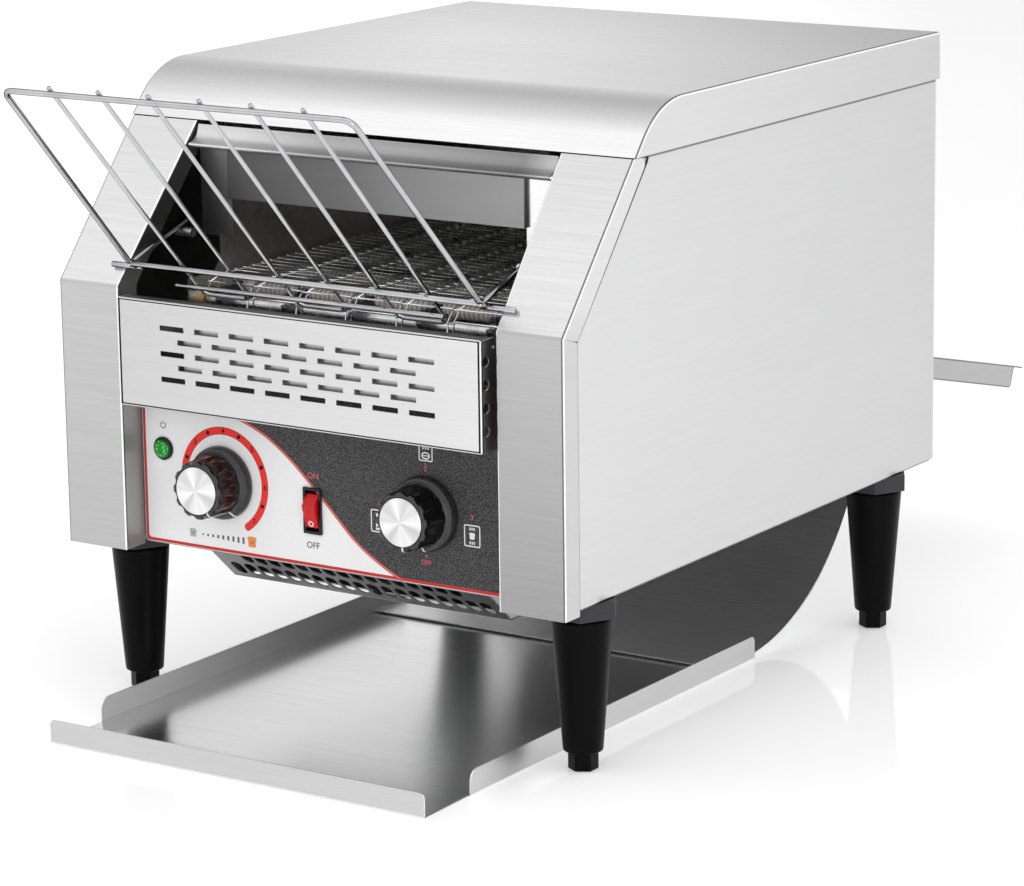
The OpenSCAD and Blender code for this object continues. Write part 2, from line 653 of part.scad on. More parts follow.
// cone legs, with the bolt that holds each one to the base plate
module legs() {
    color(blk) place() at_legs() difference() {
        union() {
            translate([0, 0, 11.4]) cylinder(h = 81.3, r1 = 12, r2 = 18.25, $fn = 64);
            translate([0, 0, 92.7]) cylinder(h = 2, r1 = 18.25, r2 = 17, $fn = 64);
            translate([0, 0, 94]) cylinder(h = 16, r = 4, $fn = 48);
            translate([0, 0, 107.85]) cylinder(h = 5, r = 7.5, $fn = 6);
        }
        translate([0, 0, 11]) cylinder(h = 42, r = stud_r + 0.06, $fn = 48);
    }
}
module foot(x, y) {
    color(blk) place() translate([x, y, 0]) union() {
        rotate([0, 0, 90]) cylinder(h = 11.3, r = 9.25, $fn = 6);
        translate([0, 0, 11.2]) cylinder(h = 40, r = stud_r, $fn = 48);
    }
}
module foot_front_left() { foot(-leg_x, leg_y1); }
module foot_front_right() { foot(leg_x, leg_y1); }
module foot_rear_left() { foot(-leg_x, leg_y2); }
module foot_rear_right() { foot(leg_x, leg_y2); }

base_plate();
side_panel_left();
side_panel_right();
front_column_left();
front_column_right();
top_lid();
back_panel();
header_band();
entry_baffle();
slotted_guard();
control_panel();
control_overlay();
air_inlet_box();
chamber_wall_left();
chamber_wall_right();
upper_reflector();
lower_heat_shield();
compartment_wall();
upper_heater_tubes();
lower_heater_tubes();
heater_end_caps();
conveyor_belt();
drive_shaft();
drive_rollers();
idler_shaft();
idler_rollers();
shaft_bushes();
driven_sprocket();
gear_motor();
motor_bracket();
motor_sprocket();
drive_chain();
fan_housing();
fan_rotor();
speed_knob();
speed_knob_cap();
speed_spindle();
speed_potentiometer();
heat_knob();
heat_knob_cap();
heat_spindle();
heat_selector_switch();
rocker_bezel();
rocker_button();
lamp_bezel();
lamp_lens();
rack_frame();
rack_wires();
rack_support_pins();
toast_tray();
return_chute();
rear_deflector();
leg_collars();
legs();
foot_front_left();
foot_front_right();
foot_rear_left();
foot_rear_right();
control_electronics();
cable_gland();
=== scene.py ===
import math
import random

import bmesh
import bpy
from mathutils import Matrix, Vector

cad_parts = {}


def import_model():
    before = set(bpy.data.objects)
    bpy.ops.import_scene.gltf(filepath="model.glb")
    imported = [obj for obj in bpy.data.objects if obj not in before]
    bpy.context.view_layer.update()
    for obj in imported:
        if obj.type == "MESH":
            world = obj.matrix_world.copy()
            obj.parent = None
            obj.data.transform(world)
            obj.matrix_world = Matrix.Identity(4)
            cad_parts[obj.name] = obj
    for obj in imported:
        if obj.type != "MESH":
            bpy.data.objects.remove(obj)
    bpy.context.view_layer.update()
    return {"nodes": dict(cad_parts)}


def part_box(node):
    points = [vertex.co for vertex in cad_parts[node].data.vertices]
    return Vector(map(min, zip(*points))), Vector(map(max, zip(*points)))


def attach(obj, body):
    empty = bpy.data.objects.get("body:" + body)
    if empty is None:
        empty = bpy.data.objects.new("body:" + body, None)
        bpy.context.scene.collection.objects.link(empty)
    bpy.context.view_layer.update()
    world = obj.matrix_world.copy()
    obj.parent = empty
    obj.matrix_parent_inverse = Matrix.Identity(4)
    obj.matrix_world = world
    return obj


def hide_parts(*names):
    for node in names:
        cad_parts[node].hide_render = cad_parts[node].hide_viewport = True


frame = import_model()
scene = bpy.context.scene

# The machine's own numbers are in millimetres with y = 0 at the front plane of the columns.
YM = -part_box("front_column_right")[0].y * 1000.0


def V(x, y, z):
    return Vector((x * 0.001, (y - YM) * 0.001, z * 0.001))


# ---------------------------------------------------------------- camera, floor, light
PITCH, YAW, ROLL = 0.23054050044516725, 0.5864851226067321, -0.013159356461259474


def camera():
    f = Vector((-math.sin(YAW) * math.cos(PITCH), math.cos(YAW) * math.cos(PITCH), -math.sin(PITCH)))
    r = Vector((math.cos(YAW), math.sin(YAW), 0))
    u = r.cross(f)
    c, s = math.cos(ROLL), math.sin(ROLL)
    r2, u2 = c * r + s * u, -s * r + c * u
    m = Matrix.Identity(4)
    for k, v in enumerate((r2, u2, -f)):
        for j in range(3):
            m[j][k] = v[j]
    m.translation = V(1355.601, -1816.316, 716.999)
    data = bpy.data.cameras.new("camera")
    data.sensor_width = 36.0
    data.sensor_fit = "HORIZONTAL"
    data.lens = 3908.541 / 1024 * 36.0
    data.clip_start, data.clip_end = 0.05, 60
    ob = bpy.data.objects.new("camera", data)
    scene.collection.objects.link(ob)
    ob.matrix_world = m
    scene.camera = ob
    return ob


camera()


# ---------------------------------------------------------------- materials
class M:
    """A node material under construction."""

    def __init__(s, name):
        s.m = bpy.data.materials.new(name)
        s.m.use_nodes = True
        s.t = s.m.node_tree
        s.t.nodes.clear()
        s.out = s.t.nodes.new("ShaderNodeOutputMaterial")
        s.b = s.t.nodes.new("ShaderNodeBsdfPrincipled")
        s.t.links.new(s.b.outputs[0], s.out.inputs[0])
        s.co = s.t.nodes.new("ShaderNodeTexCoord")

    def n(s, kind, **kw):
        n = s.t.nodes.new("ShaderNode" + kind)
        for k, v in kw.items():
            setattr(n, k, v)
        return n

    def l(s, a, b):
        s.t.links.new(a, b)

    def mapping(s, scale, loc=(0, 0, 0), rot=(0, 0, 0), src="Object"):
        n = s.n("Mapping")
        n.inputs["Scale"].default_value = scale
        n.inputs["Location"].default_value = loc
        n.inputs["Rotation"].default_value = rot
        s.l(s.co.outputs[src], n.inputs["Vector"])
        return n.outputs[0]

    def noise(s, vec, scale=1.0, detail=2.0, rough=0.5, dist=0.0):
        n = s.n("TexNoise")
        n.inputs["Scale"].default_value = scale
        n.inputs["Detail"].default_value = detail
        n.inputs["Roughness"].default_value = rough
        n.inputs["Distortion"].default_value = dist
        s.l(vec, n.inputs["Vector"])
        return n.outputs["Fac"] if "Fac" in n.outputs else n.outputs[0]

    def rng(s, v, a, b, lo=0.3, hi=0.7, clamp=True):
        n = s.n("MapRange", clamp=clamp)
        n.inputs["From Min"].default_value = lo
        n.inputs["From Max"].default_value = hi
        n.inputs["To Min"].default_value = a
        n.inputs["To Max"].default_value = b
        s.l(v, n.inputs["Value"])
        return n.outputs[0]

    def math(s, op, a, b=None):
        n = s.n("Math", operation=op)
        for k, v in enumerate((a, b)):
            if v is None:
                continue
            if isinstance(v, (int, float)):
                n.inputs[k].default_value = v
            else:
                s.l(v, n.inputs[k])
        return n.outputs[0]

    def mix(s, f, a, b):
        n = s.n("Mix", data_type="RGBA")
        for k, v in ((0, f), (6, a), (7, b)):
            if isinstance(v, (int, float)):
                n.inputs[k].default_value = v
            elif isinstance(v, (tuple, list)):
                n.inputs[k].default_value = (*v[:3], 1)
            else:
                s.l(v, n.inputs[k])
        return n.outputs[2]

    def bump(s, h, strength=0.2, dist=0.0002):
        n = s.n("Bump")
        n.inputs["Strength"].default_value = strength
        n.inputs["Distance"].default_value = dist
        s.l(h, n.inputs["Height"])
        s.l(n.outputs[0], s.b.inputs["Normal"])
        return n

    def set(s, **kw):
        names = dict(color="Base Color", rough="Roughness", metal="Metallic", ior="IOR", coat="Coat Weight", coat_rough="Coat Roughness",
                     aniso="Anisotropic", spec="Specular IOR Level", emis="Emission Strength", emis_color="Emission Color", alpha="Alpha",
                     trans="Transmission Weight", sss="Subsurface Weight")
        for k, v in kw.items():
            i = s.b.inputs[names[k]]
            if isinstance(v, (int, float)):
                i.default_value = v
            elif isinstance(v, (tuple, list)):
                i.default_value = (*v[:3], 1) if len(i.default_value) == 4 else v
            else:
                s.l(v, i)
        return s


def steel(name, axis, tone=0.8, rough=0.3, grain=1.0, tint=(1.0, 1.0, 1.005), aniso=0.7, shade=()):
    """Brushed stainless: fine scratches along one axis of the part, with slow clouding. shade holds painted shade and
    painted reflection as soft tone steps across the sheet: (axis, from, to, tone at from, tone at to), in machine
    millimetres."""
    s = M(name)
    long_, short = 9.0, 760.0
    sc = [short] * 3
    sc["XYZ".index(axis)] = long_
    fine = s.noise(s.mapping(tuple(sc), loc=(3.1, 1.7, 5.3)), 1.0, 3.0, 0.65)
    sc2 = [2600.0] * 3
    sc2["XYZ".index(axis)] = 26.0
    hair = s.noise(s.mapping(tuple(sc2)), 1.0, 2.0, 0.6)
    cloud = s.noise(s.mapping((5, 5, 5)), 1.0, 2.0)
    a = tuple(tone * (1 - 0.075 * grain) * t for t in tint)
    b = tuple(min(tone * (1 + 0.05 * grain), 0.97) * t for t in tint)
    m1 = s.math("ADD", s.math("MULTIPLY", fine, 0.62), s.math("MULTIPLY", hair, 0.38))
    col = s.mix(s.rng(m1, 0, 1, 0.33, 0.67), a, b)
    if shade:
        sep = s.n("SeparateXYZ")
        s.l(s.co.outputs["Object"], sep.inputs[0])
        for ax, v0, v1, f0, f1 in shade:
            k = "XYZ".index(ax)
            off = YM if ax == "Y" else 0.0
            f = s.rng(sep.outputs[k], f0, f1, (v0 - off) * 0.001, (v1 - off) * 0.001)
            vm = s.n("VectorMath", operation="SCALE")
            s.l(col, vm.inputs[0])
            s.l(f, vm.inputs["Scale"])
            col = vm.outputs[0]
    s.set(color=col, metal=1.0, aniso=aniso)
    tg = s.n("Tangent", direction_type="RADIAL", axis=axis)
    s.l(tg.outputs[0], s.b.inputs["Tangent"])
    s.l(s.math("ADD", s.rng(m1, rough + 0.05, rough - 0.04), s.rng(cloud, -0.02, 0.02)), s.b.inputs["Roughness"])
    s.bump(m1, 0.10 * grain, 0.00012)
    return s.m


def plain_metal(name, color, rough, noise_scale=400, amount=0.06, metal=1.0, bump=0.05, detail=3.0):
    s = M(name)
    n = s.noise(s.mapping((noise_scale,) * 3), 1.0, detail, 0.6)
    slow = s.noise(s.mapping((14, 14, 14)), 1.0, 2.0)
    a = tuple(c * (1 - amount) for c in color)
    b = tuple(min(1, c * (1 + amount)) for c in color)
    s.set(color=s.mix(s.rng(n, 0, 1), a, b), metal=metal)
    s.l(s.math("ADD", s.rng(n, rough - 0.04, rough + 0.04), s.rng(slow, -0.03, 0.03)), s.b.inputs["Roughness"])
    s.bump(n, bump, 0.0001)
    return s.m


def plastic(name, color, rough, coat=0.0, grain=1200, amount=0.08, bump=0.05, spec=0.5):
    s = M(name)
    n = s.noise(s.mapping((grain,) * 3), 1.0, 2.0, 0.5)
    slow = s.noise(s.mapping((30, 30, 30)), 1.0, 2.0)
    a = tuple(c * (1 - amount) for c in color)
    b = tuple(min(1, c * (1 + amount)) for c in color)
    s.set(color=s.mix(s.rng(n, 0, 1), a, b), metal=0.0, coat=coat, spec=spec)
    if coat:
        s.set(coat_rough=0.05)
    s.l(s.math("ADD", s.rng(n, rough - 0.02, rough + 0.02), s.rng(slow, -0.02, 0.02)), s.b.inputs["Roughness"])
    s.bump(n, bump, 0.00006)
    return s.m


STEEL_X = steel("steel_brushed_x", "X", 0.66, 0.30, grain=0.6)
STEEL_Y = steel("steel_brushed_y", "Y", 0.66, 0.33, grain=0.22)
# painted reflection: the side sheet darkens towards the back; painted shadow: a dark line just below the lid's skirt
SIDE = steel("steel_side_panel", "Y", 0.655, 0.33, grain=0.3, shade=(("Y", 20, 450, 1.0, 0.855), ("Z", 359.4, 360.2, 1.0, 0.30)))
# painted reflection: the column strips and lid skirts lighter above the kink and darker towards the back
STEEL_STRIP = steel("steel_strip", "Y", 0.60, 0.33, grain=0.22, shade=(("Z", 262, 285, 0.97, 1.14), ("Y", 60, 450, 1.0, 0.88)))
STEEL_SKIRT = steel("steel_lid_skirt", "Y", 0.60, 0.33, grain=0.22, shade=(("Z", 262, 285, 0.97, 1.14), ("Y", 60, 450, 0.98, 0.80)))
# lit and shaded copies of the tray's steel: painted shade on the right wall, darker towards the back, and painted light
# on the left wall
STEEL_WALL_R = steel("steel_tray_wall_right", "Y", 0.625, 0.33, grain=0.3, shade=(("Y", 60, 450, 1.0, 0.92),))
STEEL_WALL_L = steel("steel_tray_wall_left", "Y", 0.95, 0.42, grain=0.3)
# painted shade and painted reflection: the lid darker at its left end, on its front bend below the flat top, and
# towards the back
STEEL_LID = steel("steel_lid", "X", 0.86, 0.26, grain=0.5, shade=(("X", -185, -90, 0.93, 1.0), ("Z", 389, 392, 0.89, 1.0), ("Y", 280, 452, 1.0, 0.88)))
# painted reflection: the slanted column faces darken towards the top, the right one a little more
STEEL_SLANT = steel("steel_slant", "X", 0.69, 0.30, grain=0.8, shade=(("Z", 300, 355, 1.0, 0.955),))
STEEL_SLANT_R = steel("steel_slant_right", "X", 0.68, 0.30, grain=0.8, shade=(("Z", 300, 355, 1.0, 0.93),))
# painted shade: the columns' inner returns darken strongly up the slant
STEEL_RETURN = steel("steel_return", "Z", 0.43, 0.42, grain=0.5, shade=(("Z", 258, 292, 1.0, 0.24),))
# painted shade: a darker copy of the steel for the rear deflector's flanges
STEEL_DEFL = steel("steel_deflector", "Y", 0.42, 0.33, grain=0.3)
# lit and shaded copies: painted shade makes the right column darker than the left; both lighten from the foot up to the
# kink
STEEL_COL_R = steel("steel_column_right", "X", 0.435, 0.32, grain=0.8, shade=(("Z", 104, 262, 0.85, 1.17),))
STEEL_COL_L = steel("steel_column_left", "X", 0.53, 0.32, grain=0.8, shade=(("Z", 104, 262, 0.93, 1.04),))
# painted shade: the slotted guard darker towards its left end
STEEL_GUARD = steel("steel_guard", "X", 0.72, 0.33, grain=0.5, shade=(("X", -132, 132, 0.85, 1.04),))
STEEL_TRAY = steel("steel_tray", "X", 0.94, 0.19, grain=0.8)
# painted shade: the tray's front lip, a darker copy of the tray's steel
STEEL_LIP = steel("steel_tray_lip", "X", 0.61, 0.34, grain=0.5)
# painted shade: the return chute darker towards its top
STEEL_CHUTE = steel("steel_chute", "X", 0.88, 0.44, grain=1.6, shade=(("Z", 50, 105, 1.08, 0.72),))
# painted reflection: the header band bright at its left end and darker to the right, with painted highlights at its
# right end, its lower lip and its top
STEEL_BAND = steel("steel_band", "X", 0.42, 0.22, grain=0.5, shade=(("X", -100, -38, 1.32, 0.82), ("X", -38, 106, 1.0, 0.64), ("X", 110, 128, 1.0, 1.75), ("Z", 347, 350.5, 1.55, 1.0), ("Z", 353, 357, 1.0, 1.22)))
# painted shade and painted highlights: dark, bright and pale copies of the steel laid on rounded folds, edges and
# margins so they read as lines; the bright one also covers the right infeed cheek
PAINTED_SHADE_EDGE = plain_metal("steel_edge_painted_shade", (0.17, 0.17, 0.175), 0.35, 900, 0.1)
PAINTED_HIGHLIGHT = plain_metal("steel_painted_highlight", (0.95, 0.95, 0.95), 0.22, 900, 0.03)
PAINTED_PALE_HIGHLIGHT = plain_metal("steel_painted_pale_highlight", (0.76, 0.76, 0.765), 0.3, 900, 0.04)
# the sheets' cut edges are dark: partly the rough cut's own colour, partly painted shade that draws the edges as dark
# lines
RIM = plain_metal("steel_cut_edge", (0.20, 0.20, 0.205), 0.45, 900, 0.1)
INNER = plain_metal("inner_steel", (0.62, 0.62, 0.63), 0.38, 350, 0.07)
# painted shade: the left infeed cheek, a dark copy of the steel whose bright copy is on the right cheek
CHEEK_PAINTED_SHADE = plain_metal("cheek_painted_shade", (0.20, 0.20, 0.205), 0.42, 350, 0.04)
# painted shade: the entry baffle darkens towards its left end
BAFFLE = steel("baffle_steel", "X", 0.375, 0.42, grain=0.4, aniso=0.3, shade=(("X", -105, 20, 0.45, 1.0), ("X", -20, 100, 0.62, 1.0)))
REFLECTOR = plain_metal("reflector_steel", (0.7, 0.69, 0.67), 0.3, 300, 0.08)
POWDER = plastic("powder_coat_dark", (0.045, 0.045, 0.048), 0.55, grain=1500, amount=0.3, bump=0.25)
TURNED = plain_metal("turned_steel", (0.62, 0.62, 0.63), 0.28, 700, 0.08)
BELT = plain_metal("belt_wire", (0.95, 0.95, 0.95), 0.28, 500, 0.05)
SPROCKET = plain_metal("sprocket_steel", (0.36, 0.36, 0.37), 0.4, 500, 0.12)
ROLLER = plain_metal("roller_steel", (0.15, 0.15, 0.155), 0.4, 300, 0.1)
BLUED = plain_metal("heat_blued_steel", (0.075, 0.072, 0.075), 0.5, 300, 0.2)
CHAIN = plain_metal("chain_steel", (0.3, 0.29, 0.28), 0.42, 700, 0.2)
BRONZE = plain_metal("sintered_bronze", (0.62, 0.42, 0.2), 0.45, 1800, 0.12, bump=0.2)
ZINC = plain_metal("motor_casting", (0.5, 0.5, 0.52), 0.5, 900, 0.1, metal=0.8, bump=0.2)
BLACK = plastic("black_moulded", (0.018, 0.018, 0.02), 0.42, grain=2200, amount=0.3, bump=0.2)
GLOSS = plastic("black_gloss", (0.003, 0.003, 0.0035), 0.13, grain=300, amount=0.2, bump=0.01, spec=0.32)
SKIRT = plastic("black_satin", (0.018, 0.018, 0.019), 0.28, grain=1800, amount=0.25, bump=0.04, spec=0.62)
LEG = plastic("leg_satin_black", (0.0014, 0.0015, 0.0017), 0.36, grain=900, amount=0.2, bump=0.05, spec=0.075)
COLLAR = plastic("collar_dark_grey", (0.035, 0.035, 0.038), 0.45, grain=1500, amount=0.2, bump=0.12, spec=0.3)
RED = plastic("rocker_red", (0.60, 0.006, 0.006), 0.18, coat=0.12, grain=200, amount=0.05, bump=0.01, spec=0.22)
WHITE_INK = plastic("ink_white", (0.86, 0.86, 0.86), 0.45, grain=2500, amount=0.03, bump=0.02)
RED_INK = plastic("ink_red", (0.93, 0.042, 0.036), 0.5, grain=2500, amount=0.05, bump=0.02, spec=0.12)
RED_LINE = plastic("ink_red_line", (0.58, 0.045, 0.042), 0.5, grain=2500, amount=0.05, bump=0.02, spec=0.12)
RED_TEXT = plastic("ink_red_text", (0.62, 0.1, 0.1), 0.45, grain=2500, amount=0.05, bump=0.02)
GREY_INK = plastic("ink_grey", (0.10, 0.10, 0.10), 0.5, grain=2500, amount=0.08, bump=0.02)
BLACK_INK = plastic("ink_black", (0.016, 0.006, 0.006), 0.5, grain=2500, amount=0.08, bump=0.02, spec=0.15)
MARK_DARK = plastic("rocker_mark_dark", (0.16, 0.004, 0.004), 0.4, grain=2500, amount=0.08, bump=0.02, spec=0.15)
ORANGE_INK = plastic("ink_orange", (0.86, 0.27, 0.045), 0.45, grain=2500, amount=0.05, bump=0.02)
CERAMIC = plastic("ceramic_cap", (0.8, 0.77, 0.7), 0.6, grain=1200, amount=0.06, bump=0.2)
SWITCH = plastic("switch_moulding", (0.42, 0.39, 0.3), 0.5, grain=900, amount=0.08, bump=0.1)


def film_white():
    s = M("overlay_film_white")
    n = s.noise(s.mapping((900, 900, 900)), 1.0, 2.0)
    s.set(color=s.mix(s.rng(n, 0, 1), (0.86, 0.86, 0.86), (0.90, 0.90, 0.90)), rough=0.42, spec=0.35)
    s.bump(n, 0.03, 0.00005)
    return s.m


def film_dark():
    """Charcoal field with a printed fleck."""
    s = M("overlay_film_charcoal")
    n = s.noise(s.mapping((1250, 1250, 1250)), 1.0, 1.5, 0.4)
    f = s.noise(s.mapping((700, 700, 700), loc=(4, 2, 9)), 1.0, 2.0, 0.6)
    c = s.mix(s.rng(n, 0, 1, 0.40, 0.64), (0.008, 0.008, 0.009), (0.112, 0.112, 0.116))
    c = s.mix(s.rng(f, 0, 0.35, 0.45, 0.7), c, (0.05, 0.05, 0.053))
    s.set(color=c, rough=0.5, spec=0.35)
    s.bump(n, 0.15, 0.00006)
    return s.m


def chrome():
    s = M("chrome_wire")
    n = s.noise(s.mapping((60, 60, 60)), 1.0, 2.0)
    s.set(color=s.mix(s.rng(n, 0, 1), (0.46, 0.46, 0.47), (0.56, 0.56, 0.57)), metal=1.0)
    s.b.inputs["Specular Tint"].default_value = (0.0, 0.0, 0.0, 1)
    s.l(s.rng(n, 0.05, 0.09), s.b.inputs["Roughness"])
    return s.m


def quartz():
    """Milky quartz with the heating coil showing as faint rings."""
    s = M("quartz_tube")
    w = s.n("TexWave", wave_type="BANDS", bands_direction="X")
    w.inputs["Scale"].default_value = 90.0
    w.inputs["Distortion"].default_value = 0.6
    s.l(s.mapping((1, 1, 1)), w.inputs["Vector"])
    c = s.mix(s.rng(w.outputs["Fac"], 0, 1, 0.2, 0.8), (0.52, 0.47, 0.42), (0.8, 0.78, 0.74))
    s.set(color=c, rough=0.22, coat=0.6, spec=0.5)
    s.set(coat_rough=0.06)
    return s.m


def board():
    s = M("circuit_board")
    v = s.n("TexVoronoi", feature="F1", distance="CHEBYCHEV")
    v.inputs["Scale"].default_value = 210.0
    s.l(s.co.outputs["Object"], v.inputs["Vector"])
    n = s.noise(s.mapping((500, 500, 500)), 1.0, 2.0)
    c = s.mix(s.rng(v.outputs["Distance"], 0, 1, 0.42, 0.46), (0.015, 0.11, 0.05), (0.03, 0.17, 0.08))
    s.set(color=c, rough=0.35, spec=0.5)
    s.bump(n, 0.1, 0.0001)
    return s.m


def spun():
    """Aluminium cap turned on a lathe: rings round the axis, with bright and dim sectors painted into the colour as a
    painted sheen that stands in for the light on the rings.
    """
    s = M("knob_cap_spun_aluminium")
    tc = s.n("SeparateXYZ")
    s.l(s.co.outputs["Object"], tc.inputs[0])
    x, z = tc.outputs[0], tc.outputs[2]
    ang = s.math("ARCTAN2", z, x)
    r = s.math("SQRT", s.math("ADD", s.math("MULTIPLY", x, x), s.math("MULTIPLY", z, z)))
    # painted sheen: bright and dim sectors round the axis
    a4 = s.math("SINE", s.math("ADD", s.math("MULTIPLY", ang, 4.0), 0.5))
    a3 = s.math("SINE", s.math("ADD", s.math("MULTIPLY", ang, 7.0), 1.3))
    a11 = s.math("SINE", s.math("ADD", s.math("MULTIPLY", ang, 13.0), 2.0))
    fan = s.math("ADD", s.math("ADD", s.math("MULTIPLY", a4, 0.55), s.math("MULTIPLY", a3, 0.3)), s.math("MULTIPLY", a11, 0.15))
    comb = s.n("CombineXYZ")
    s.l(s.math("MULTIPLY", r, 5200.0), comb.inputs[0])
    s.l(s.math("MULTIPLY", s.math("COSINE", ang), 0.7), comb.inputs[1])
    s.l(s.math("MULTIPLY", s.math("SINE", ang), 0.7), comb.inputs[2])
    rings = s.noise(comb.outputs[0], 1.0, 2.0, 0.6)
    c = s.mix(s.rng(fan, 0, 1, -0.8, 0.8), (0.56, 0.56, 0.565), (0.93, 0.93, 0.935))
    c = s.mix(s.rng(rings, 0, 0.35), c, (0.78, 0.78, 0.785))
    s.set(color=c, metal=1.0, aniso=0.6)
    tg = s.n("Tangent", direction_type="RADIAL", axis="Y")
    s.l(tg.outputs[0], s.b.inputs["Tangent"])
    s.l(s.rng(rings, 0.26, 0.36), s.b.inputs["Roughness"])
    s.bump(rings, 0.06, 0.00005)
    return s.m


def lens():
    """Green moulding lit from behind: bright points between the facets."""
    s = M("lamp_green")
    v = s.n("TexVoronoi", feature="F1")
    v.inputs["Scale"].default_value = 620.0
    s.l(s.co.outputs["Object"], v.inputs["Vector"])
    c = s.mix(s.rng(v.outputs["Distance"], 0, 1, 0.12, 0.5), (0.02, 0.55, 0.05), (0.002, 0.16, 0.012))
    e = s.rng(v.outputs["Distance"], 0.85, 0.06, 0.08, 0.40)
    s.set(color=c, rough=0.14, coat=0.25, spec=0.35, emis_color=(0.05, 0.95, 0.10))
    s.l(e, s.b.inputs["Emission Strength"])
    s.set(coat_rough=0.03)
    return s.m


FILM_W, FILM_D, CHROME, QUARTZ, BOARD, SPUN, LENS = film_white(), film_dark(), chrome(), quartz(), board(), spun(), lens()
LENS_RIM = plastic("lamp_green_dark", (0.002, 0.045, 0.006), 0.2, grain=300, amount=0.2, bump=0.02, spec=0.4)


# ---------------------------------------------------------------- mesh helpers
def obj(name, mesh, mats, body="cabinet", repl=(), rim=0.0, seg=2, thick=0.0, angle=35, wn=True, smooth=True, cut=0):
    """Puts a finished mesh into the scene as a piece, with its thickness and edge rounding."""
    ob = bpy.data.objects.new(name, mesh)
    scene.collection.objects.link(ob)
    mats = mats if isinstance(mats, (list, tuple)) else [mats]
    for m in mats:
        mesh.materials.append(m)
    if smooth:
        for p in mesh.polygons:
            p.use_smooth = True
    if thick:
        md = ob.modifiers.new("thickness", "SOLIDIFY")
        md.thickness = thick * 0.001
        md.offset = -1.0
        md.use_even_offset = True
        md.material_offset_rim = cut
    if rim:
        md = ob.modifiers.new("edges", "BEVEL")
        md.width = rim * 0.001
        md.segments = seg
        md.limit_method = "ANGLE"
        md.angle_limit = math.radians(angle)
        md.use_clamp_overlap = False
        md.harden_normals = False
    if wn:
        md = ob.modifiers.new("normals", "WEIGHTED_NORMAL")
        md.keep_sharp = False
        md.mode = "FACE_AREA"
        md.weight = 80
    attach(ob, body)
    if repl:
        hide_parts(*([repl] if isinstance(repl, str) else repl))
    return ob


def to_mesh(bm, name, recalc=False):
    if recalc:
        bmesh.ops.recalc_face_normals(bm, faces=bm.faces)
    me = bpy.data.meshes.new(name)
    bm.to_mesh(me)
    bm.free()
    return me


def fillet(path, radii, n=5, closed=False):
    """Rounds the corners of a 2D path. radii is one number or one for each point."""
    pts = [Vector(p) for p in path]
    k = len(pts)
    rr = radii if isinstance(radii, (list, tuple)) else [radii] * k
    out = []
    for i, p in enumerate(pts):
        if (not closed and i in (0, k - 1)) or rr[i] <= 0:
            out.append(p.copy())
            continue
        a, b = pts[i - 1], pts[(i + 1) % k]
        da, db = (a - p), (b - p)
        la, lb = da.length, db.length
        da.normalize(), db.normalize()
        ang = math.acos(max(-1, min(1, da.dot(db))))
        if ang > math.pi - 1e-3:
            out.append(p.copy())
            continue
        cut = min(rr[i] / math.tan(ang / 2), la * 0.49, lb * 0.49)
        r = cut * math.tan(ang / 2)
        s, e = p + da * cut, p + db * cut
        mid = (da + db).normalized()
        c = p + mid * (r / math.sin(ang / 2))
        vs, ve = s - c, e - c
        tot = math.acos(max(-1, min(1, vs.normalized().dot(ve.normalized()))))
        for q in range(n + 1):
            t = q / n
            w = (math.sin((1 - t) * tot) * vs + math.sin(t * tot) * ve) / math.sin(tot)
            out.append(c + w)
    return out


def offset2(path, t, closed=False):
    """A 2D path moved sideways by t, mitred."""
    k = len(path)
    out = []
    for i, p in enumerate(path):
        def nrm(a, b):
            d = (b - a).normalized()
            return Vector((-d.y, d.x))
        if closed or 0 < i < k - 1:
            n0, n1 = nrm(path[i - 1], p), nrm(p, path[(i + 1) % k])
        elif i == 0:
            n0 = n1 = nrm(p, path[1])
        else:
            n0 = n1 = nrm(path[i - 1], p)
        m = n0 + n1
        out.append(p + m * (2 * t / m.length_squared))
    return out


def arc(cx, cy, r, a0, a1, n):
    return [Vector((cx + r * math.cos(math.radians(a0 + (a1 - a0) * i / n)), cy + r * math.sin(math.radians(a0 + (a1 - a0) * i / n)))) for i in range(n + 1)]


def strip_x(name, path, t, x0, x1, nx=1):
    """A bent strip of thickness t (to the left of the yz path) drawn out along x, as a closed solid."""
    q = offset2(path, t)
    ring = list(path) + q[::-1]
    bm = bmesh.new()
    cols = []
    for i in range(nx + 1):
        x = x0 + (x1 - x0) * i / nx
        cols.append([bm.verts.new(V(x, p.x, p.y)) for p in ring])
    k, m = len(ring), len(path)
    for a, b in zip(cols, cols[1:]):
        for j in range(k):
            jj = (j + 1) % k
            bm.faces.new((a[j], b[j], b[jj], a[jj]))
    for side in (cols[0], cols[-1]):
        for j in range(m - 1):
            bm.faces.new((side[j], side[j + 1], side[k - 2 - j], side[k - 1 - j]))
    return to_mesh(bm, name, True)


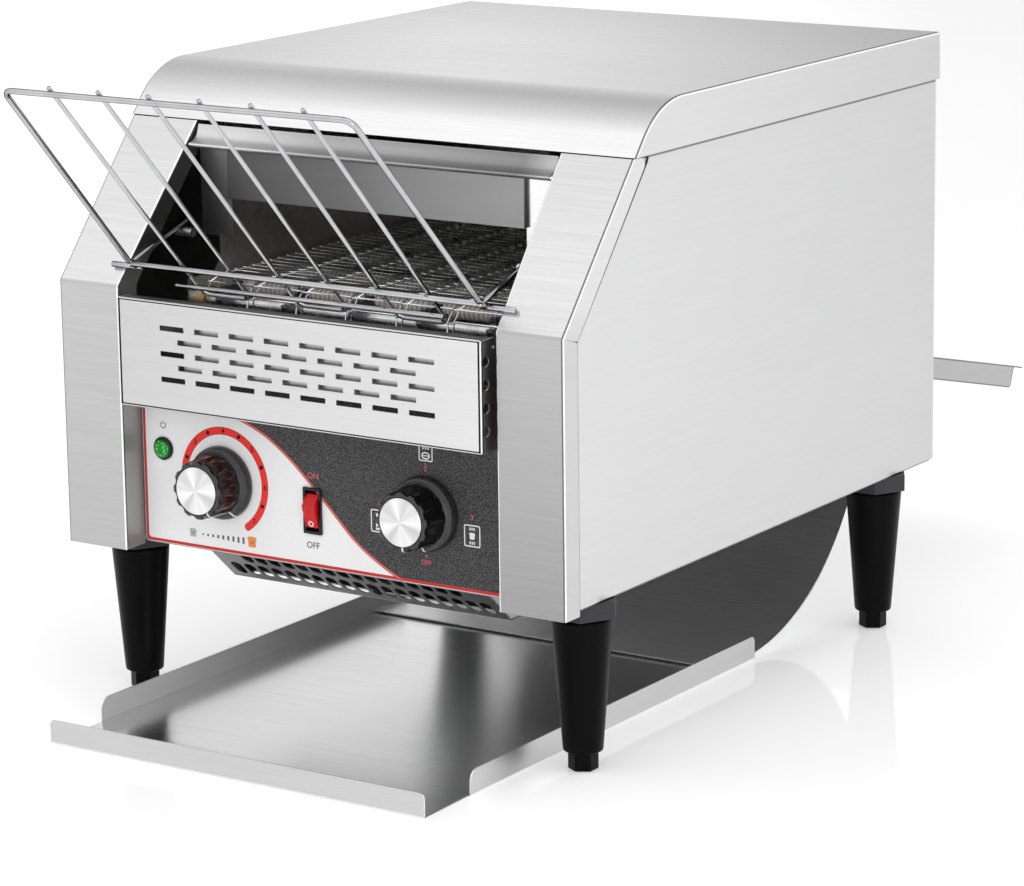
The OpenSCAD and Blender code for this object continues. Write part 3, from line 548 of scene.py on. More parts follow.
def curve_plate(outer, holes, t, bevel=0.15, res=1):
    """A flat plate in its own xy plane, from 0 to t in z, with holes and rounded edges. Lists of points in millimetres."""
    cu = bpy.data.curves.new("tmp", "CURVE")
    cu.dimensions = "2D"
    cu.fill_mode = "BOTH"
    b = min(bevel, t * 0.45)
    cu.bevel_depth = b
    cu.bevel_resolution = res
    cu.extrude = t / 2 - b
    cu.offset = -b
    for loop in [outer] + list(holes):
        sp = cu.splines.new("POLY")
        sp.points.add(len(loop) - 1)
        for i, p in enumerate(loop):
            sp.points[i].co = (p[0], p[1], 0, 1)
        sp.use_cyclic_u = True
    ob = bpy.data.objects.new("tmp", cu)
    scene.collection.objects.link(ob)
    dg = bpy.context.evaluated_depsgraph_get()
    me = bpy.data.meshes.new_from_object(ob.evaluated_get(dg))
    bpy.data.objects.remove(ob)
    bpy.data.curves.remove(cu)
    bm = bmesh.new()
    bm.from_mesh(me)
    bpy.data.meshes.remove(me)
    bmesh.ops.remove_doubles(bm, verts=bm.verts, dist=1e-4)
    for v in bm.verts:
        v.co.z += t / 2
    return bm


def place_bm(bm, fn):
    """Sends each vertex of a plate, (u, v, w) in millimetres, through fn to machine coordinates."""
    for v in bm.verts:
        v.co = V(*fn(v.co.x, v.co.y, v.co.z))
    bmesh.ops.recalc_face_normals(bm, faces=bm.faces)
    return bm


def join_bm(*bms):
    out = bmesh.new()
    for b in bms:
        me = bpy.data.meshes.new("tmp")
        b.to_mesh(me)
        b.free()
        out.from_mesh(me)
        bpy.data.meshes.remove(me)
    return out


def box_bm(x0, x1, y0, y1, z0, z1):
    bm = bmesh.new()
    v = [bm.verts.new(V(x, y, z)) for x in (x0, x1) for y in (y0, y1) for z in (z0, z1)]
    for f in ((0, 1, 3, 2), (4, 6, 7, 5), (0, 4, 5, 1), (2, 3, 7, 6), (0, 2, 6, 4), (1, 5, 7, 3)):
        bm.faces.new([v[i] for i in f])
    bmesh.ops.recalc_face_normals(bm, faces=bm.faces)
    return bm


def rbox_bm(x0, x1, y0, y1, z0, z1, r, seg=3):
    bm = box_bm(x0, x1, y0, y1, z0, z1)
    bmesh.ops.bevel(bm, geom=bm.edges[:], offset=r * 0.001, offset_type="OFFSET", segments=seg, profile=0.5, affect="EDGES", clamp_overlap=True)
    return bm


def lathe(profile, seg=96, radius=None):
    """Turns (r, h) points round the z axis. radius(r, h, angle) may change r. Returns a bmesh in millimetres, h along z."""
    bm = bmesh.new()
    rings = []
    for r, h in profile:
        if r < 1e-6:
            rings.append([bm.verts.new((0, 0, h))])
            continue
        ring = []
        for i in range(seg):
            a = 2 * math.pi * i / seg
            rr = radius(r, h, a) if radius else r
            ring.append(bm.verts.new((rr * math.cos(a), rr * math.sin(a), h)))
        rings.append(ring)
    for a, b in zip(rings, rings[1:]):
        for i in range(seg):
            j = (i + 1) % seg
            if len(a) == 1 and len(b) == 1:
                continue
            if len(a) == 1:
                bm.faces.new((a[0], b[i], b[j]))
            elif len(b) == 1:
                bm.faces.new((a[i], a[j], b[0]))
            else:
                bm.faces.new((a[i], a[j], b[j], b[i]))
    return bm


def tube_bm(pts, r, sides=12, closed=False, cap=True):
    """A round rod of radius r along points in machine millimetres."""
    P = [Vector(p) for p in pts]
    k = len(P)
    tan = []
    for i in range(k):
        if closed:
            d = (P[(i + 1) % k] - P[i - 1])
        else:
            d = P[min(i + 1, k - 1)] - P[max(i - 1, 0)]
        tan.append(d.normalized())
    n = tan[0].orthogonal().normalized()
    rows = []
    bm = bmesh.new()
    spec = [(P[i], tan[i], r) for i in range(k)]
    if cap and not closed:
        b = min(0.25 * r, 0.4)
        spec = [(P[0], tan[0], r - b), (P[0] + tan[0] * b, tan[0], r)] + spec[1:-1] + [(P[-1] - tan[-1] * b, tan[-1], r), (P[-1], tan[-1], r - b)]
    for p, t, rr in spec:
        n = (n - t * n.dot(t)).normalized()
        m = t.cross(n)
        rows.append([bm.verts.new(V(*(p + (n * math.cos(2 * math.pi * j / sides) + m * math.sin(2 * math.pi * j / sides)) * rr))) for j in range(sides)])
    pairs = list(zip(rows, rows[1:]))
    if closed:
        pairs.append((rows[-1], rows[0]))
    for a, b in pairs:
        for j in range(sides):
            jj = (j + 1) % sides
            bm.faces.new((a[j], a[jj], b[jj], b[j]))
    if not closed:
        bm.faces.new(rows[0][::-1])
        bm.faces.new(rows[-1])
    bmesh.ops.recalc_face_normals(bm, faces=bm.faces)
    return bm


def round3(pts, r, n=6):
    """Rounds the corners of a 3D polyline with arcs of radius r."""
    P = [Vector(p) for p in pts]
    out = [P[0]]
    for a, p, b in zip(P, P[1:], P[2:]):
        da, db = (a - p), (b - p)
        la, lb = da.length, db.length
        da.normalize(), db.normalize()
        ang = math.acos(max(-1, min(1, da.dot(db))))
        rr = r
        cut = min(rr / math.tan(ang / 2), la * 0.49, lb * 0.49)
        rr = cut * math.tan(ang / 2)
        c = p + (da + db).normalized() * (rr / math.sin(ang / 2))
        vs, ve = p + da * cut - c, p + db * cut - c
        tot = math.acos(max(-1, min(1, vs.normalized().dot(ve.normalized()))))
        for q in range(n + 1):
            t = q / n
            out.append(c + (math.sin((1 - t) * tot) * vs + math.sin(t * tot) * ve) / math.sin(tot))
    out.append(P[-1])
    return out


def rrect(x0, x1, y0, y1, r, n=5):
    return fillet([(x0, y0), (x1, y0), (x1, y1), (x0, y1)], r, n, closed=True)


def fold_materials(bm, first, side):
    """Colours the rounded folds with painted shade on the half turned to the front or top and a painted highlight on
    the half turned to the side.
    """
    for f in bm.faces:
        if f.material_index == 9:
            n = f.normal
            s = abs(n.dot(side))
            f.material_index = first if s < 0.72 else first + 1


# ---------------------------------------------------------------- sheet-metal body
KZ, LY, LZ, TZ, RR = 269.2, 77.9, 361.7, 392.5, 58.0
SD = Vector((LY, LZ - KZ)).normalized()  # direction of the slanted face as (y, z)
LC = Vector((LY + ((TZ - RR + RR * SD.x) - LZ) * SD.x / SD.y + RR * SD.y, TZ - RR))
LA = math.degrees(math.atan2(SD.x, -SD.y))


def lid():
    xs = 185.5
    path = [Vector((LY, LZ))] + arc(LC.x, LC.y, RR, LA, 90, 40) + [Vector((454.3, TZ))]
    back = fillet([(454.3 - 4, TZ), (455.5, TZ), (455.5, LZ)], 1.3, 4)
    path = path[:-1] + back
    bm = bmesh.new()
    L = [bm.verts.new(V(-xs, p.x, p.y)) for p in path]
    R = [bm.verts.new(V(xs, p.x, p.y)) for p in path]
    for i in range(len(path) - 1):
        bm.faces.new((L[i], R[i], R[i + 1], L[i + 1]))
    # side skirts, as strips from the edge down to the lower line
    def skirt(E):
        low = []
        for p, v in zip(path, E):
            if abs(p.y - LZ) < 1e-6:
                low.append(v)
            else:
                low.append(bm.verts.new(V(v.co.x * 1000, p.x, LZ)))
        for i in range(len(path) - 1):
            q = [E[i], E[i + 1], low[i + 1], low[i]]
            u = []
            for v in q:
                if v not in u:
                    u.append(v)
            if len(u) > 2 and abs(path[i].x - path[i + 1].x) > 1e-6:
                bm.faces.new(u)
    skirt(L), skirt(R)
    bmesh.ops.remove_doubles(bm, verts=bm.verts, dist=1e-7)
    bmesh.ops.recalc_face_normals(bm, faces=bm.faces)
    up = [f for f in bm.faces if f.normal.z > 0.99]
    if not up:
        bmesh.ops.reverse_faces(bm, faces=bm.faces)
    edges = []
    for e in bm.edges:
        if len(e.link_faces) == 2:
            a, b = e.link_faces[0].normal, e.link_faces[1].normal
            if a.dot(b) < 0.3 and (abs(a.x) > 0.9 or abs(b.x) > 0.9):
                edges.append(e)
    res = bmesh.ops.bevel(bm, geom=edges, offset=0.0014, offset_type="OFFSET", segments=4, profile=0.5, affect="EDGES", clamp_overlap=False, material=9)
    bm.normal_update()
    # painted shade and painted highlight on the lid's side folds
    fold_materials(bm, 1, Vector((1, 0, 0)))
    me = to_mesh(bm, "top_lid_shell")
    for p in me.polygons:
        if p.material_index == 0 and abs(p.normal.x) > 0.9:
            p.material_index = 3
    obj("top_lid_shell", me, [STEEL_LID, PAINTED_SHADE_EDGE, PAINTED_HIGHLIGHT, STEEL_SKIRT, RIM], repl="top_lid", thick=1.0, rim=0.15, cut=4)


lid()


def column(sx):
    side = "right" if sx > 0 else "left"
    bm = bmesh.new()
    v = lambda x, y, z: bm.verts.new(V(sx * x, y, z))
    # rows: bottom, kink, top.  columns: return, inner corner, outer corner, side strip
    ty, tz = LY - 0.75 * SD.x, LZ - 0.75 * SD.y
    A = [v(138, 18, 103.6), v(138, 18, KZ - 2), v(133.6, LY + 15, LZ - 3)]
    B = [v(138, 0, 103), v(138, 0, KZ), v(133.6, ty, tz)]
    C = [v(184, 0, 103), v(184, 0, KZ), v(184, ty, tz)]
    for i in (0, 1):
        bm.faces.new((A[i], B[i], B[i + 1], A[i + 1]))
        bm.faces.new((B[i], C[i], C[i + 1], B[i + 1]))
    # lower strip and upper strip, parted by the mitre seam
    d0, d1 = v(184, 15.5, 103), v(184, 15.5, KZ - 4.65)
    bm.faces.new((C[0], d0, d1, C[1]))
    t1 = v(184, 15.6, KZ - 4.2)
    top = fillet([(15.6, KZ - 4.2), (LY + 16.0, LZ - 0.9), (ty, tz)], [0, 5.5, 0], 5)
    tv = [v(184, p.x, p.y) for p in top[1:-1]]
    bm.faces.new([C[1], t1] + tv + [C[2]])
    bmesh.ops.recalc_face_normals(bm, faces=bm.faces)
    front = [f for f in bm.faces if abs(f.normal.y) > 0.98]
    if front and front[0].normal.y > 0:
        bmesh.ops.reverse_faces(bm, faces=bm.faces)
    bm.normal_update()
    edges = []
    for e in bm.edges:
        if len(e.link_faces) == 2:
            a, b = e.link_faces[0].normal, e.link_faces[1].normal
            if a.dot(b) < 0.9:
                edges.append(e)
    bmesh.ops.bevel(bm, geom=edges, offset=0.0013, offset_type="OFFSET", segments=4, profile=0.5, affect="EDGES", clamp_overlap=False, material=9)
    bm.normal_update()
    # painted shade and painted highlights on the folds by which way each face turns; the strips, returns and slant take
    # steels with painted tone steps
    for f in bm.faces:
        if f.material_index == 9:
            n = f.normal * 1.0
            x = n.x * sx
            if x > 0.15:
                f.material_index = 1 if x < 0.70 else 2
            elif x < -0.15:
                f.material_index = 2 if x > -0.6 else 1
            else:
                f.material_index = 0
        elif abs(f.normal.x) > 0.9:
            f.material_index = 3 if f.normal.x * sx > 0 else 4
        elif f.normal.z > 0.3:
            f.material_index = 5
    me = to_mesh(bm, "front_column_" + side + "_shell")
    low, slant = (STEEL_COL_R, STEEL_SLANT_R) if sx > 0 else (STEEL_COL_L, STEEL_SLANT)
    # painted shadow: a dark strip along the free edge of the side strip, where the gap beside the strip lies in shade
    seam = catmull([(15.75, 104.0), (15.75, 150.0), (15.75, KZ - 6.0)], 2) + [Vector((15.85, KZ - 4.3)), Vector((LY + 14.9, LZ - 4.2)), Vector((LY + 16.1, LZ - 1.6)), Vector((LY + 15.2, LZ - 0.75)), Vector((LY + 12.5, LZ - 0.72)), Vector((LY + 1.0, LZ - 0.72))]
    sm = curve_plate(band_path(seam, 0.8), [], 0.75, 0.1, 0)
    place_bm(sm, lambda u, v, w: (sx * (183.05 + w), u, v))
    obj("column_painted_shadow_line_" + side, to_mesh(sm, "column_painted_shadow_line_" + side), PAINTED_SHADOW_LINE)
    obj("front_column_" + side + "_shell", me, [low, PAINTED_SHADE_EDGE, PAINTED_HIGHLIGHT, STEEL_STRIP, STEEL_RETURN, slant, RIM], repl="front_column_" + side, thick=1.0, rim=0.15, cut=6)


# painted shadow: dark steel for lines where only shade falls
PAINTED_SHADOW_LINE = plain_metal("painted_shadow_line", (0.10, 0.10, 0.105), 0.5, 900, 0.1)


def band_path(pts, w):
    """Outline of a line of width w along points, with its ends as the points say."""
    a = offset2([Vector(p) for p in pts], w / 2)
    b = offset2([Vector(p) for p in pts], -w / 2)
    return a + b[::-1]


def catmull(pts, n=8):
    P = [Vector(p) for p in pts]
    P = [2 * P[0] - P[1]] + P + [2 * P[-1] - P[-2]]
    out = []
    for i in range(1, len(P) - 2):
        p0, p1, p2, p3 = P[i - 1:i + 3]
        for k in range(n):
            t = k / n
            out.append(0.5 * ((2 * p1) + (p2 - p0) * t + (2 * p0 - 5 * p1 + 4 * p2 - p3) * t * t + (3 * p1 - p0 - 3 * p2 + p3) * t ** 3))
    out.append(P[-2])
    return out

column(1)
column(-1)


def side_panel(sx):
    """Side sheet with a painted highlight along its rear and foot margins, painted shade on its rounded folds, and a
    folded edge along the rear and the foot.
    """
    side = "right" if sx > 0 else "left"
    bm = bmesh.new()
    X = 183.0
    v = lambda x, y, z: bm.verts.new(V(sx * x, y, z))
    top = arc(LC.x, LC.y, RR - 1.4, LA, 90, 24)
    main = [(1.4, 106.7), (1.4, KZ - 0.45)] + [(q.x, q.y) for q in top] + [(452.4, TZ - 1.4), (452.4, 361.3), (453.9, 361.1), (455.7, 106.7)]
    mv = [v(X, y, z) for y, z in main]
    a, b = mv[-2], mv[-1]
    c, d = v(X, 455.4, 361.0), v(X, 457.2, 106.7)
    e, k, f2, f = v(X, 457.2, 105.5), v(X, 452.0, 105.5), v(X, 3.0, 105.5), v(X, 1.4, 105.5)
    bm.faces.new(mv)
    rear = bm.faces.new((a, c, d, b))
    low = bm.faces.new((mv[0], b, d, e, k, f2, f))
    g, h = v(172, 455.4, 361.0), v(172, 457.2, 105.5)
    bm.faces.new((c, g, h, e, d))
    m, o = v(170, 3.0, 105.5), v(170, 452.0, 105.5)
    bm.faces.new((k, f2, m, o))
    rear.material_index = low.material_index = 3
    bmesh.ops.recalc_face_normals(bm, faces=bm.faces)
    big = max(bm.faces, key=lambda q: q.calc_area())
    if big.normal.x * sx < 0:
        bmesh.ops.reverse_faces(bm, faces=bm.faces)
    bm.normal_update()
    edges = [q for q in bm.edges if len(q.link_faces) == 2 and q.link_faces[0].normal.dot(q.link_faces[1].normal) < 0.3]
    bmesh.ops.bevel(bm, geom=edges, offset=0.0009, offset_type="OFFSET", segments=3, profile=0.5, affect="EDGES", clamp_overlap=False, material=1)
    obj("side_panel_" + side + "_sheet", to_mesh(bm, "side_panel_" + side + "_sheet"), [SIDE, PAINTED_SHADE_EDGE, PAINTED_HIGHLIGHT, PAINTED_PALE_HIGHLIGHT, RIM], repl="side_panel_" + side, thick=1.0, rim=0.15, cut=4)


side_panel(1)
side_panel(-1)


def band():
    a, b = Vector((77.3, 359.2)), Vector((66.4, 348.2))
    p = [Vector((84.9, 355.2)), a]
    for i in range(1, 12):
        t = i / 12
        p.append(a + (b - a) * t + Vector((0.72, -0.7)) * 2.6 * math.sin(math.pi * t))
    lip = fillet([p[-1], b, (67.4, 345.9), (73, 345.3)], [0, 0.8, 1.1, 0], 3)
    p += lip[1:]
    me = strip_x("header_band_sheet", p, 0.6, -132.6, 132.6, 1)
    obj("header_band_sheet", me, STEEL_BAND, repl="header_band", rim=0.15, angle=50)


band()


def guard():
    holes = []
    for r in range(5):
        n = 8 if r % 2 == 0 else 7
        for i in range(n):
            x = (i - (n - 1) / 2) * 26.1
            z = 248.5 - r * 7.9
            holes.append(rrect(x - 9.1, x + 9.1, z - 1.6, z + 1.6, 0.35, 2))
    front = place_bm(curve_plate(rrect(-132.2, 132.2, 198.3, 264.0, 0.6, 3), holes, 1.0, 0.12), lambda u, v, w: (u, -6.5 - w, v))
    parts = [front]
    # side flanges with their holes
    for s in (-1, 1):
        hs = [[(-2.6 + 3.2 * math.cos(2 * math.pi * k / 28), 251.4 - i * 13.75 + 3.2 * math.sin(2 * math.pi * k / 28)) for k in range(28)] for i in range(4)]
        out = fillet([(-6.9, 198.1), (12, 197.9), (12, 259.4), (7.0, 264.4), (-6.9, 264.2)], [0, 1, 1, 1, 0], 3, closed=True)
        parts.append(place_bm(curve_plate(out, hs, 1.0, 0.12), (lambda s: lambda u, v, w: (s * (132.0 + w), u, v))(s)))
    me = to_mesh(join_bm(*parts), "guard_plates")
    # folds between the plates: quarter-round strips
    def quarter(path2d, c, x0, x1):
        pass
    bm = bmesh.new()
    bm.from_mesh(me)
    top = strip_solid([(-7.5, 263.2), (-7.5, 264.8), (0.5, 264.8)], 1.0, -132.4, 132.4, 1.0)
    bot = strip_solid([(0.5, 197.5), (-7.5, 197.5), (-7.5, 199.2)], 1.0, -132.4, 132.4, 1.0)
    parts = [bm, top, bot]
    for s in (-1, 1):
        parts.append(corner_post(s))
    me2 = to_mesh(join_bm(*parts), "slotted_guard_sheet")
    bpy.data.meshes.remove(me)
    obj("slotted_guard_sheet", me2, [STEEL_GUARD, PAINTED_PALE_HIGHLIGHT, PAINTED_HIGHLIGHT, GUARD_END, GUARD_TOP], repl="slotted_guard")
    # painted shade: the guard's end faces and top face take darker copies of its steel
    for p in me2.polygons:
        if abs(p.normal.x) > 0.8 and abs(p.center.x) > 0.1318:
            p.material_index = 3
        elif p.normal.z > 0.9 and p.center.z > 0.2645:
            p.material_index = 4
    # pin that the rack's link turns on
    lining = box_bm(-86, 126, -3.4, -2.6, 219, 264.0)
    bmesh.ops.bevel(lining, geom=lining.edges[:], offset=0.00015, segments=1, profile=0.5, affect="EDGES", clamp_overlap=True)
    obj("guard_lining_plate", to_mesh(lining, "guard_lining_plate"), LINING)
    pin = lathe([(0, 0), (1.0, 0), (1.1, 0.3), (1.1, 1.2), (0.8, 1.55), (0, 1.7)], 20)
    place_bm(pin, lambda u, v, w: (133.0 + w * 0.5, 5.6 + u, 258.7 + v))
    obj("guard_pin", to_mesh(pin, "guard_pin"), TURNED)


def strip_solid(path, t, x0, x1, r):
    p = fillet(path, r, 4)
    q = offset2(p, -t)
    bm = bmesh.new()
    ring = p + q[::-1]
    a = [bm.verts.new(V(x0, c.x, c.y)) for c in ring]
    b = [bm.verts.new(V(x1, c.x, c.y)) for c in ring]
    k, m = len(ring), len(p)
    for j in range(k):
        jj = (j + 1) % k
        bm.faces.new((a[j], b[j], b[jj], a[jj]))
    for side in (a, b):
        for j in range(m - 1):
            bm.faces.new((side[j], side[j + 1], side[k - 2 - j], side[k - 1 - j]))
    bmesh.ops.recalc_face_normals(bm, faces=bm.faces)
    return bm


def corner_post(s):
    """The upright fold between the front plate and a side flange, with painted highlights on the half turned to the
    side.
    """
    p = fillet([(130.8, -7.5), (133.0, -7.5), (133.0, -5.6)], 1.3, 5)
    q = offset2(p, 1.0)
    ring = p + q[::-1]
    bm = bmesh.new()
    a = [bm.verts.new(V(s * c.x, c.y, 198.2)) for c in ring]
    b = [bm.verts.new(V(s * c.x, c.y, 264.1)) for c in ring]
    k, m = len(ring), len(p)
    for j in range(k):
        jj = (j + 1) % k
        bm.faces.new((a[j], b[j], b[jj], a[jj]))
    for side in (a, b):
        for j in range(m - 1):
            bm.faces.new((side[j], side[j + 1], side[k - 2 - j], side[k - 1 - j]))
    bmesh.ops.recalc_face_normals(bm, faces=bm.faces)
    for f in bm.faces:
        n = f.normal
        if n.y < -0.15 and n.x * s > 0.15:
            f.material_index = 1 if n.x * s < 0.5 else 2
    return bm


LINING = plain_metal("lining_steel", (0.62, 0.62, 0.63), 0.4, 500, 0.06)
# painted shade: darker copies of the guard's steel for its end faces and top face
GUARD_END = plain_metal("steel_guard_end", (0.34, 0.34, 0.345), 0.4, 700, 0.1)
GUARD_TOP = plain_metal("steel_guard_top", (0.40, 0.40, 0.405), 0.38, 700, 0.08)
guard()


def baffle():
    parts = [rbox_bm(-109.4, 109.4, 75.0, 75.9, 314.5, 352.0, 0.2, 2), rbox_bm(-109.2, 109.2, 75.6, 84.0, 314.5, 315.4, 0.2, 2)]
    for s in (-1, 1):
        # painted shade on the baffle's side returns
        q = rbox_bm(min(s * 108.5, s * 109.38), max(s * 108.5, s * 109.38), 75.3, 78.3, 314.7, 351.8, 0.15, 2)
        for f in q.faces:
            f.material_index = 1
        parts.append(q)
    obj("entry_baffle_sheet", to_mesh(join_bm(*parts), "entry_baffle_sheet"), [BAFFLE, PAINTED_SHADOW_LINE], repl="entry_baffle")
    for s, nm in ((-1, "left"), (1, "right")):
        # the cheeks are lit and shaded copies: a painted highlight on the right cheek, painted shade on the left
        q = rbox_bm(min(s * 108.9, s * 132.8), max(s * 108.9, s * 132.8), 78.45, 78.95, 291.0, 352.0, 0.15, 2)
        obj("infeed_cheek_" + nm, to_mesh(q, "infeed_cheek_" + nm), PAINTED_HIGHLIGHT if s > 0 else CHEEK_PAINTED_SHADE)


baffle()


# ---------------------------------------------------------------- control panel
PY = 17.65  # front of the printed overlay


def decal(name, outer, mat, t=0.03, lift=0.0, holes=(), bevel=0.0, body="cabinet"):
    bm = curve_plate(outer, holes, t, bevel if bevel else t * 0.3, 0)
    place_bm(bm, lambda u, v, w: (u, PY - lift - w, v))
    return bm


def circle(cx, cz, r, n=40):
    return [(cx + r * math.cos(2 * math.pi * k / n), cz + r * math.sin(2 * math.pi * k / n)) for k in range(n)]


def text_bm(word, x, z, size, t=0.03, lift=0.0, width=None, bold=0.0, align="CENTER"):
    cu = bpy.data.curves.new("tmp", "FONT")
    cu.body = word
    cu.align_x = align
    cu.align_y = "CENTER"
    cu.size = size
    cu.extrude = t / 2
    cu.offset = bold
    cu.resolution_u = 6
    ob = bpy.data.objects.new("tmp", cu)
    scene.collection.objects.link(ob)
    dg = bpy.context.evaluated_depsgraph_get()
    me = bpy.data.meshes.new_from_object(ob.evaluated_get(dg))
    bpy.data.objects.remove(ob)
    bpy.data.curves.remove(cu)
    bm = bmesh.new()
    bm.from_mesh(me)
    bpy.data.meshes.remove(me)
    k = 1.0
    if width and bm.verts:
        w = max(v.co.x for v in bm.verts) - min(v.co.x for v in bm.verts)
        k = width / w
    # cap heights are centred by hand, because the font's own centre counts its descenders
    zs = [v.co.y for v in bm.verts]
    mid = (max(zs) + min(zs)) / 2
    for v in bm.verts:
        v.co.x *= k
        v.co.y -= mid
        v.co.z += t / 2
    place_bm(bm, lambda u, v, w: (x + u, PY - lift - w, z + v))
    return bm


# the curve that parts the white field from the charcoal one, as (x, z), is S_POINTS further down; S_CURVE stays empty
S_CURVE = None


def panel_sheet():
    """The sheet behind the overlay, with a short return along its foot and a wider one along its head."""
    holes = [circle(-75.5, 150.4, 4.8), circle(75.5, 150.4, 4.8), circle(-120.5, 166.4, 6.0), rrect(-12.9, -1.5, 128.1, 154.3, 0.5, 2)]
    front = place_bm(curve_plate(rrect(-138, 138, 105.45, 258, 0.4, 2), holes, 1.2, 0.2), lambda u, v, w: (u, 18.05 + w, v))
    foot = rbox_bm(-137.8, 137.8, 19.1, 23.6, 105.5, 106.5, 0.2, 2)
    head = rbox_bm(-137.8, 137.8, 19.1, 30.0, 256.9, 257.9, 0.2, 2)
    obj("control_panel_sheet", to_mesh(join_bm(front, foot, head), "control_panel_sheet"), INLET, repl="control_panel")


def overlay():
    hx = 136.6
    z0, z1 = 106.2, 231.8
    holes = [circle(-75.5, 150.4, 4.8), circle(75.5, 150.4, 4.8), circle(-120.5, 166.4, 6.0), rrect(-12.9, -1.5, 128.1, 154.3, 0.5, 2)]
    base = curve_plate(rrect(-hx, hx, z0, z1, 3.0, 6), holes, 0.32, 0.06)
    place_bm(base, lambda u, v, w: (u, 18.0 - w, v))
    obj("overlay_film", to_mesh(base, "overlay_film"), FILM_W, repl="control_overlay")

    s = catmull(S_POINTS, 8)
    # charcoal field: from the curve to the right edge
    fld = [tuple(p) for p in s] + [(hx - 0.1, s[-1].y), (hx - 0.1, z1 - 0.2), (s[0].x, z1 - 0.2)]
    dark_holes = [circle(75.5, 150.4, 4.8), [(x, z) for x, z in rrect(-12.9, -1.5, 128.1, 154.3, 0.5, 2)]]
    bm = decal("charcoal", fld, FILM_D, 0.03, 0.0, [dark_holes[0]])
    # the switch cut-out is under the bezel, so the field runs behind it
    obj("overlay_charcoal_field", to_mesh(bm, "overlay_charcoal_field"), FILM_D)

    # red lines
    reds = []
    reds.append(decal("s1", band_path(s, 1.7), RED_LINE, 0.03, 0.04))
    pal = decal("s2", band_path(offset2(s, 0.1), 0.32), RED_LINE, 0.03, 0.075)
    fr = rrect(-hx + 0.35, hx - 0.35, z0 + 0.3, z1 - 0.3, 2.6, 6)
    inner = rrect(-hx + 2.2, hx - 2.2, z0 + 2.2, z1 - 2.2, 2.0, 6)
    reds.append(decal("frame", fr, RED_LINE, 0.03, 0.045, [inner]))
    obj("overlay_red_lines", to_mesh(join_bm(*reds), "overlay_red_lines"), RED_LINE)
    obj("overlay_pale_line", to_mesh(pal, "overlay_pale_line"), PALE_RED)

    # dial: the red arc with a thin dark outline, and its numbers and dots 22.5 degrees apart
    cx, cz, rx, rz = -74.1, 151.0, 30.8, 31.7
    a0, a1 = 166.0, -56.5

    def on_dial(a, off=0.0):
        return cx + (rx + off) * math.cos(math.radians(a)), cz + (rz + off) * math.sin(math.radians(a))

    def dial_loop(w):
        def cap(a, sign):
            c, start = Vector(on_dial(a)), math.radians(a)
            if sign > 0:
                start += math.pi
            return [tuple(c + Vector((math.cos(start - math.pi * k / 10), math.sin(start - math.pi * k / 10))) * w) for k in range(1, 10)]
        n = 90
        return [on_dial(a0 + (a1 - a0) * k / n, w) for k in range(n + 1)] + cap(a1, -1) + [on_dial(a1 + (a0 - a1) * k / n, -w) for k in range(n + 1)] + cap(a0, 1)
    obj("dial_arc_outline", to_mesh(decal("dialo", dial_loop(2.42), BLACK_INK, 0.03, 0.03), "dial_arc_outline"), DIAL_EDGE)
    obj("dial_arc", to_mesh(decal("dial", dial_loop(2.14), RED_INK, 0.03, 0.045), "dial_arc"), RED_INK)
    marks = []
    for k in range(10):
        px, pz = on_dial(157.5 - 22.5 * k)
        if k % 2:
            marks.append(text_bm(str(3 + k // 2), px, pz, 4.7, 0.02, 0.08, bold=0.06))
        else:
            marks.append(decal("dot", circle(px, pz, 1.3, 20), BLACK_INK, 0.02, 0.08))
    obj("dial_numbers", to_mesh(join_bm(*marks), "dial_numbers"), BLACK_INK, wn=False, smooth=False)

    # switch words
    obj("switch_on_word", to_mesh(text_bm("ON", -6.8, 162.8, 5.3, 0.03, 0.06, bold=0.02), "switch_on_word"), RED_TEXT, wn=False, smooth=False)
    obj("switch_off_word", to_mesh(text_bm("OFF", -7.9, 119.6, 5.6, 0.03, 0.05, bold=0.04), "switch_off_word"), GREY_INK, wn=False, smooth=False)
    obj("selector_off_word", to_mesh(text_bm("OFF", 75.0, 120.2, 4.2, 0.03, 0.06, bold=0.05), "selector_off_word"), RED_TEXT, wn=False, smooth=False)
    reds2 = [decal("d", circle(75.2, 124.2, 0.7, 16), RED_TEXT, 0.03, 0.06), decal("d2", circle(75.4, 176.2, 0.7, 16), RED_TEXT, 0.03, 0.06),
             text_bm("2", 75.6, 179.2, 4.4, 0.03, 0.06, bold=0.07), text_bm("1", 41.4, 152.0, 4.4, 0.03, 0.06, bold=0.07), text_bm("3", 108.2, 152.0, 4.4, 0.03, 0.06, bold=0.07)]
    obj("selector_numbers", to_mesh(join_bm(*reds2), "selector_numbers"), RED_TEXT, wn=False, smooth=False)

    # white symbols on the charcoal field
    white = []

    def frame_box(x0, x1, z0, z1, w=0.75, r=1.2):
        white.append(decal("b", rrect(x0, x1, z0, z1, r, 4), WHITE_INK, 0.03, 0.05, [rrect(x0 + w, x1 - w, z0 + w, z1 - w, r - 0.5, 4)]))

    def bars(xc, z, n, w=1.0, h=0.5, gap=1.5, rows=2):
        for rr in range(rows):
            for k in range(n):
                x = xc + (k - (n - 1) / 2) * gap
                white.append(decal("h", rrect(x - h / 2, x + h / 2, z + rr * 0.0 - w, z + w, 0.2, 2), WHITE_INK, 0.03, 0.05))

    def toast(xc, zc, s, target, flat=1.0):
        """Outline of a slice of bread."""
        sh = [(-1.0, -1.15), (1.0, -1.15), (1.0, 0.25), (1.28, 0.62), (0.95, 1.08), (0.0, 1.2), (-0.95, 1.08), (-1.28, 0.62), (-1.0, 0.25)]
        return decal("t", fillet([(xc + a * s, zc + b * s * flat) for a, b in sh], 0.35 * s, 3, closed=True), target, 0.03, 0.05)

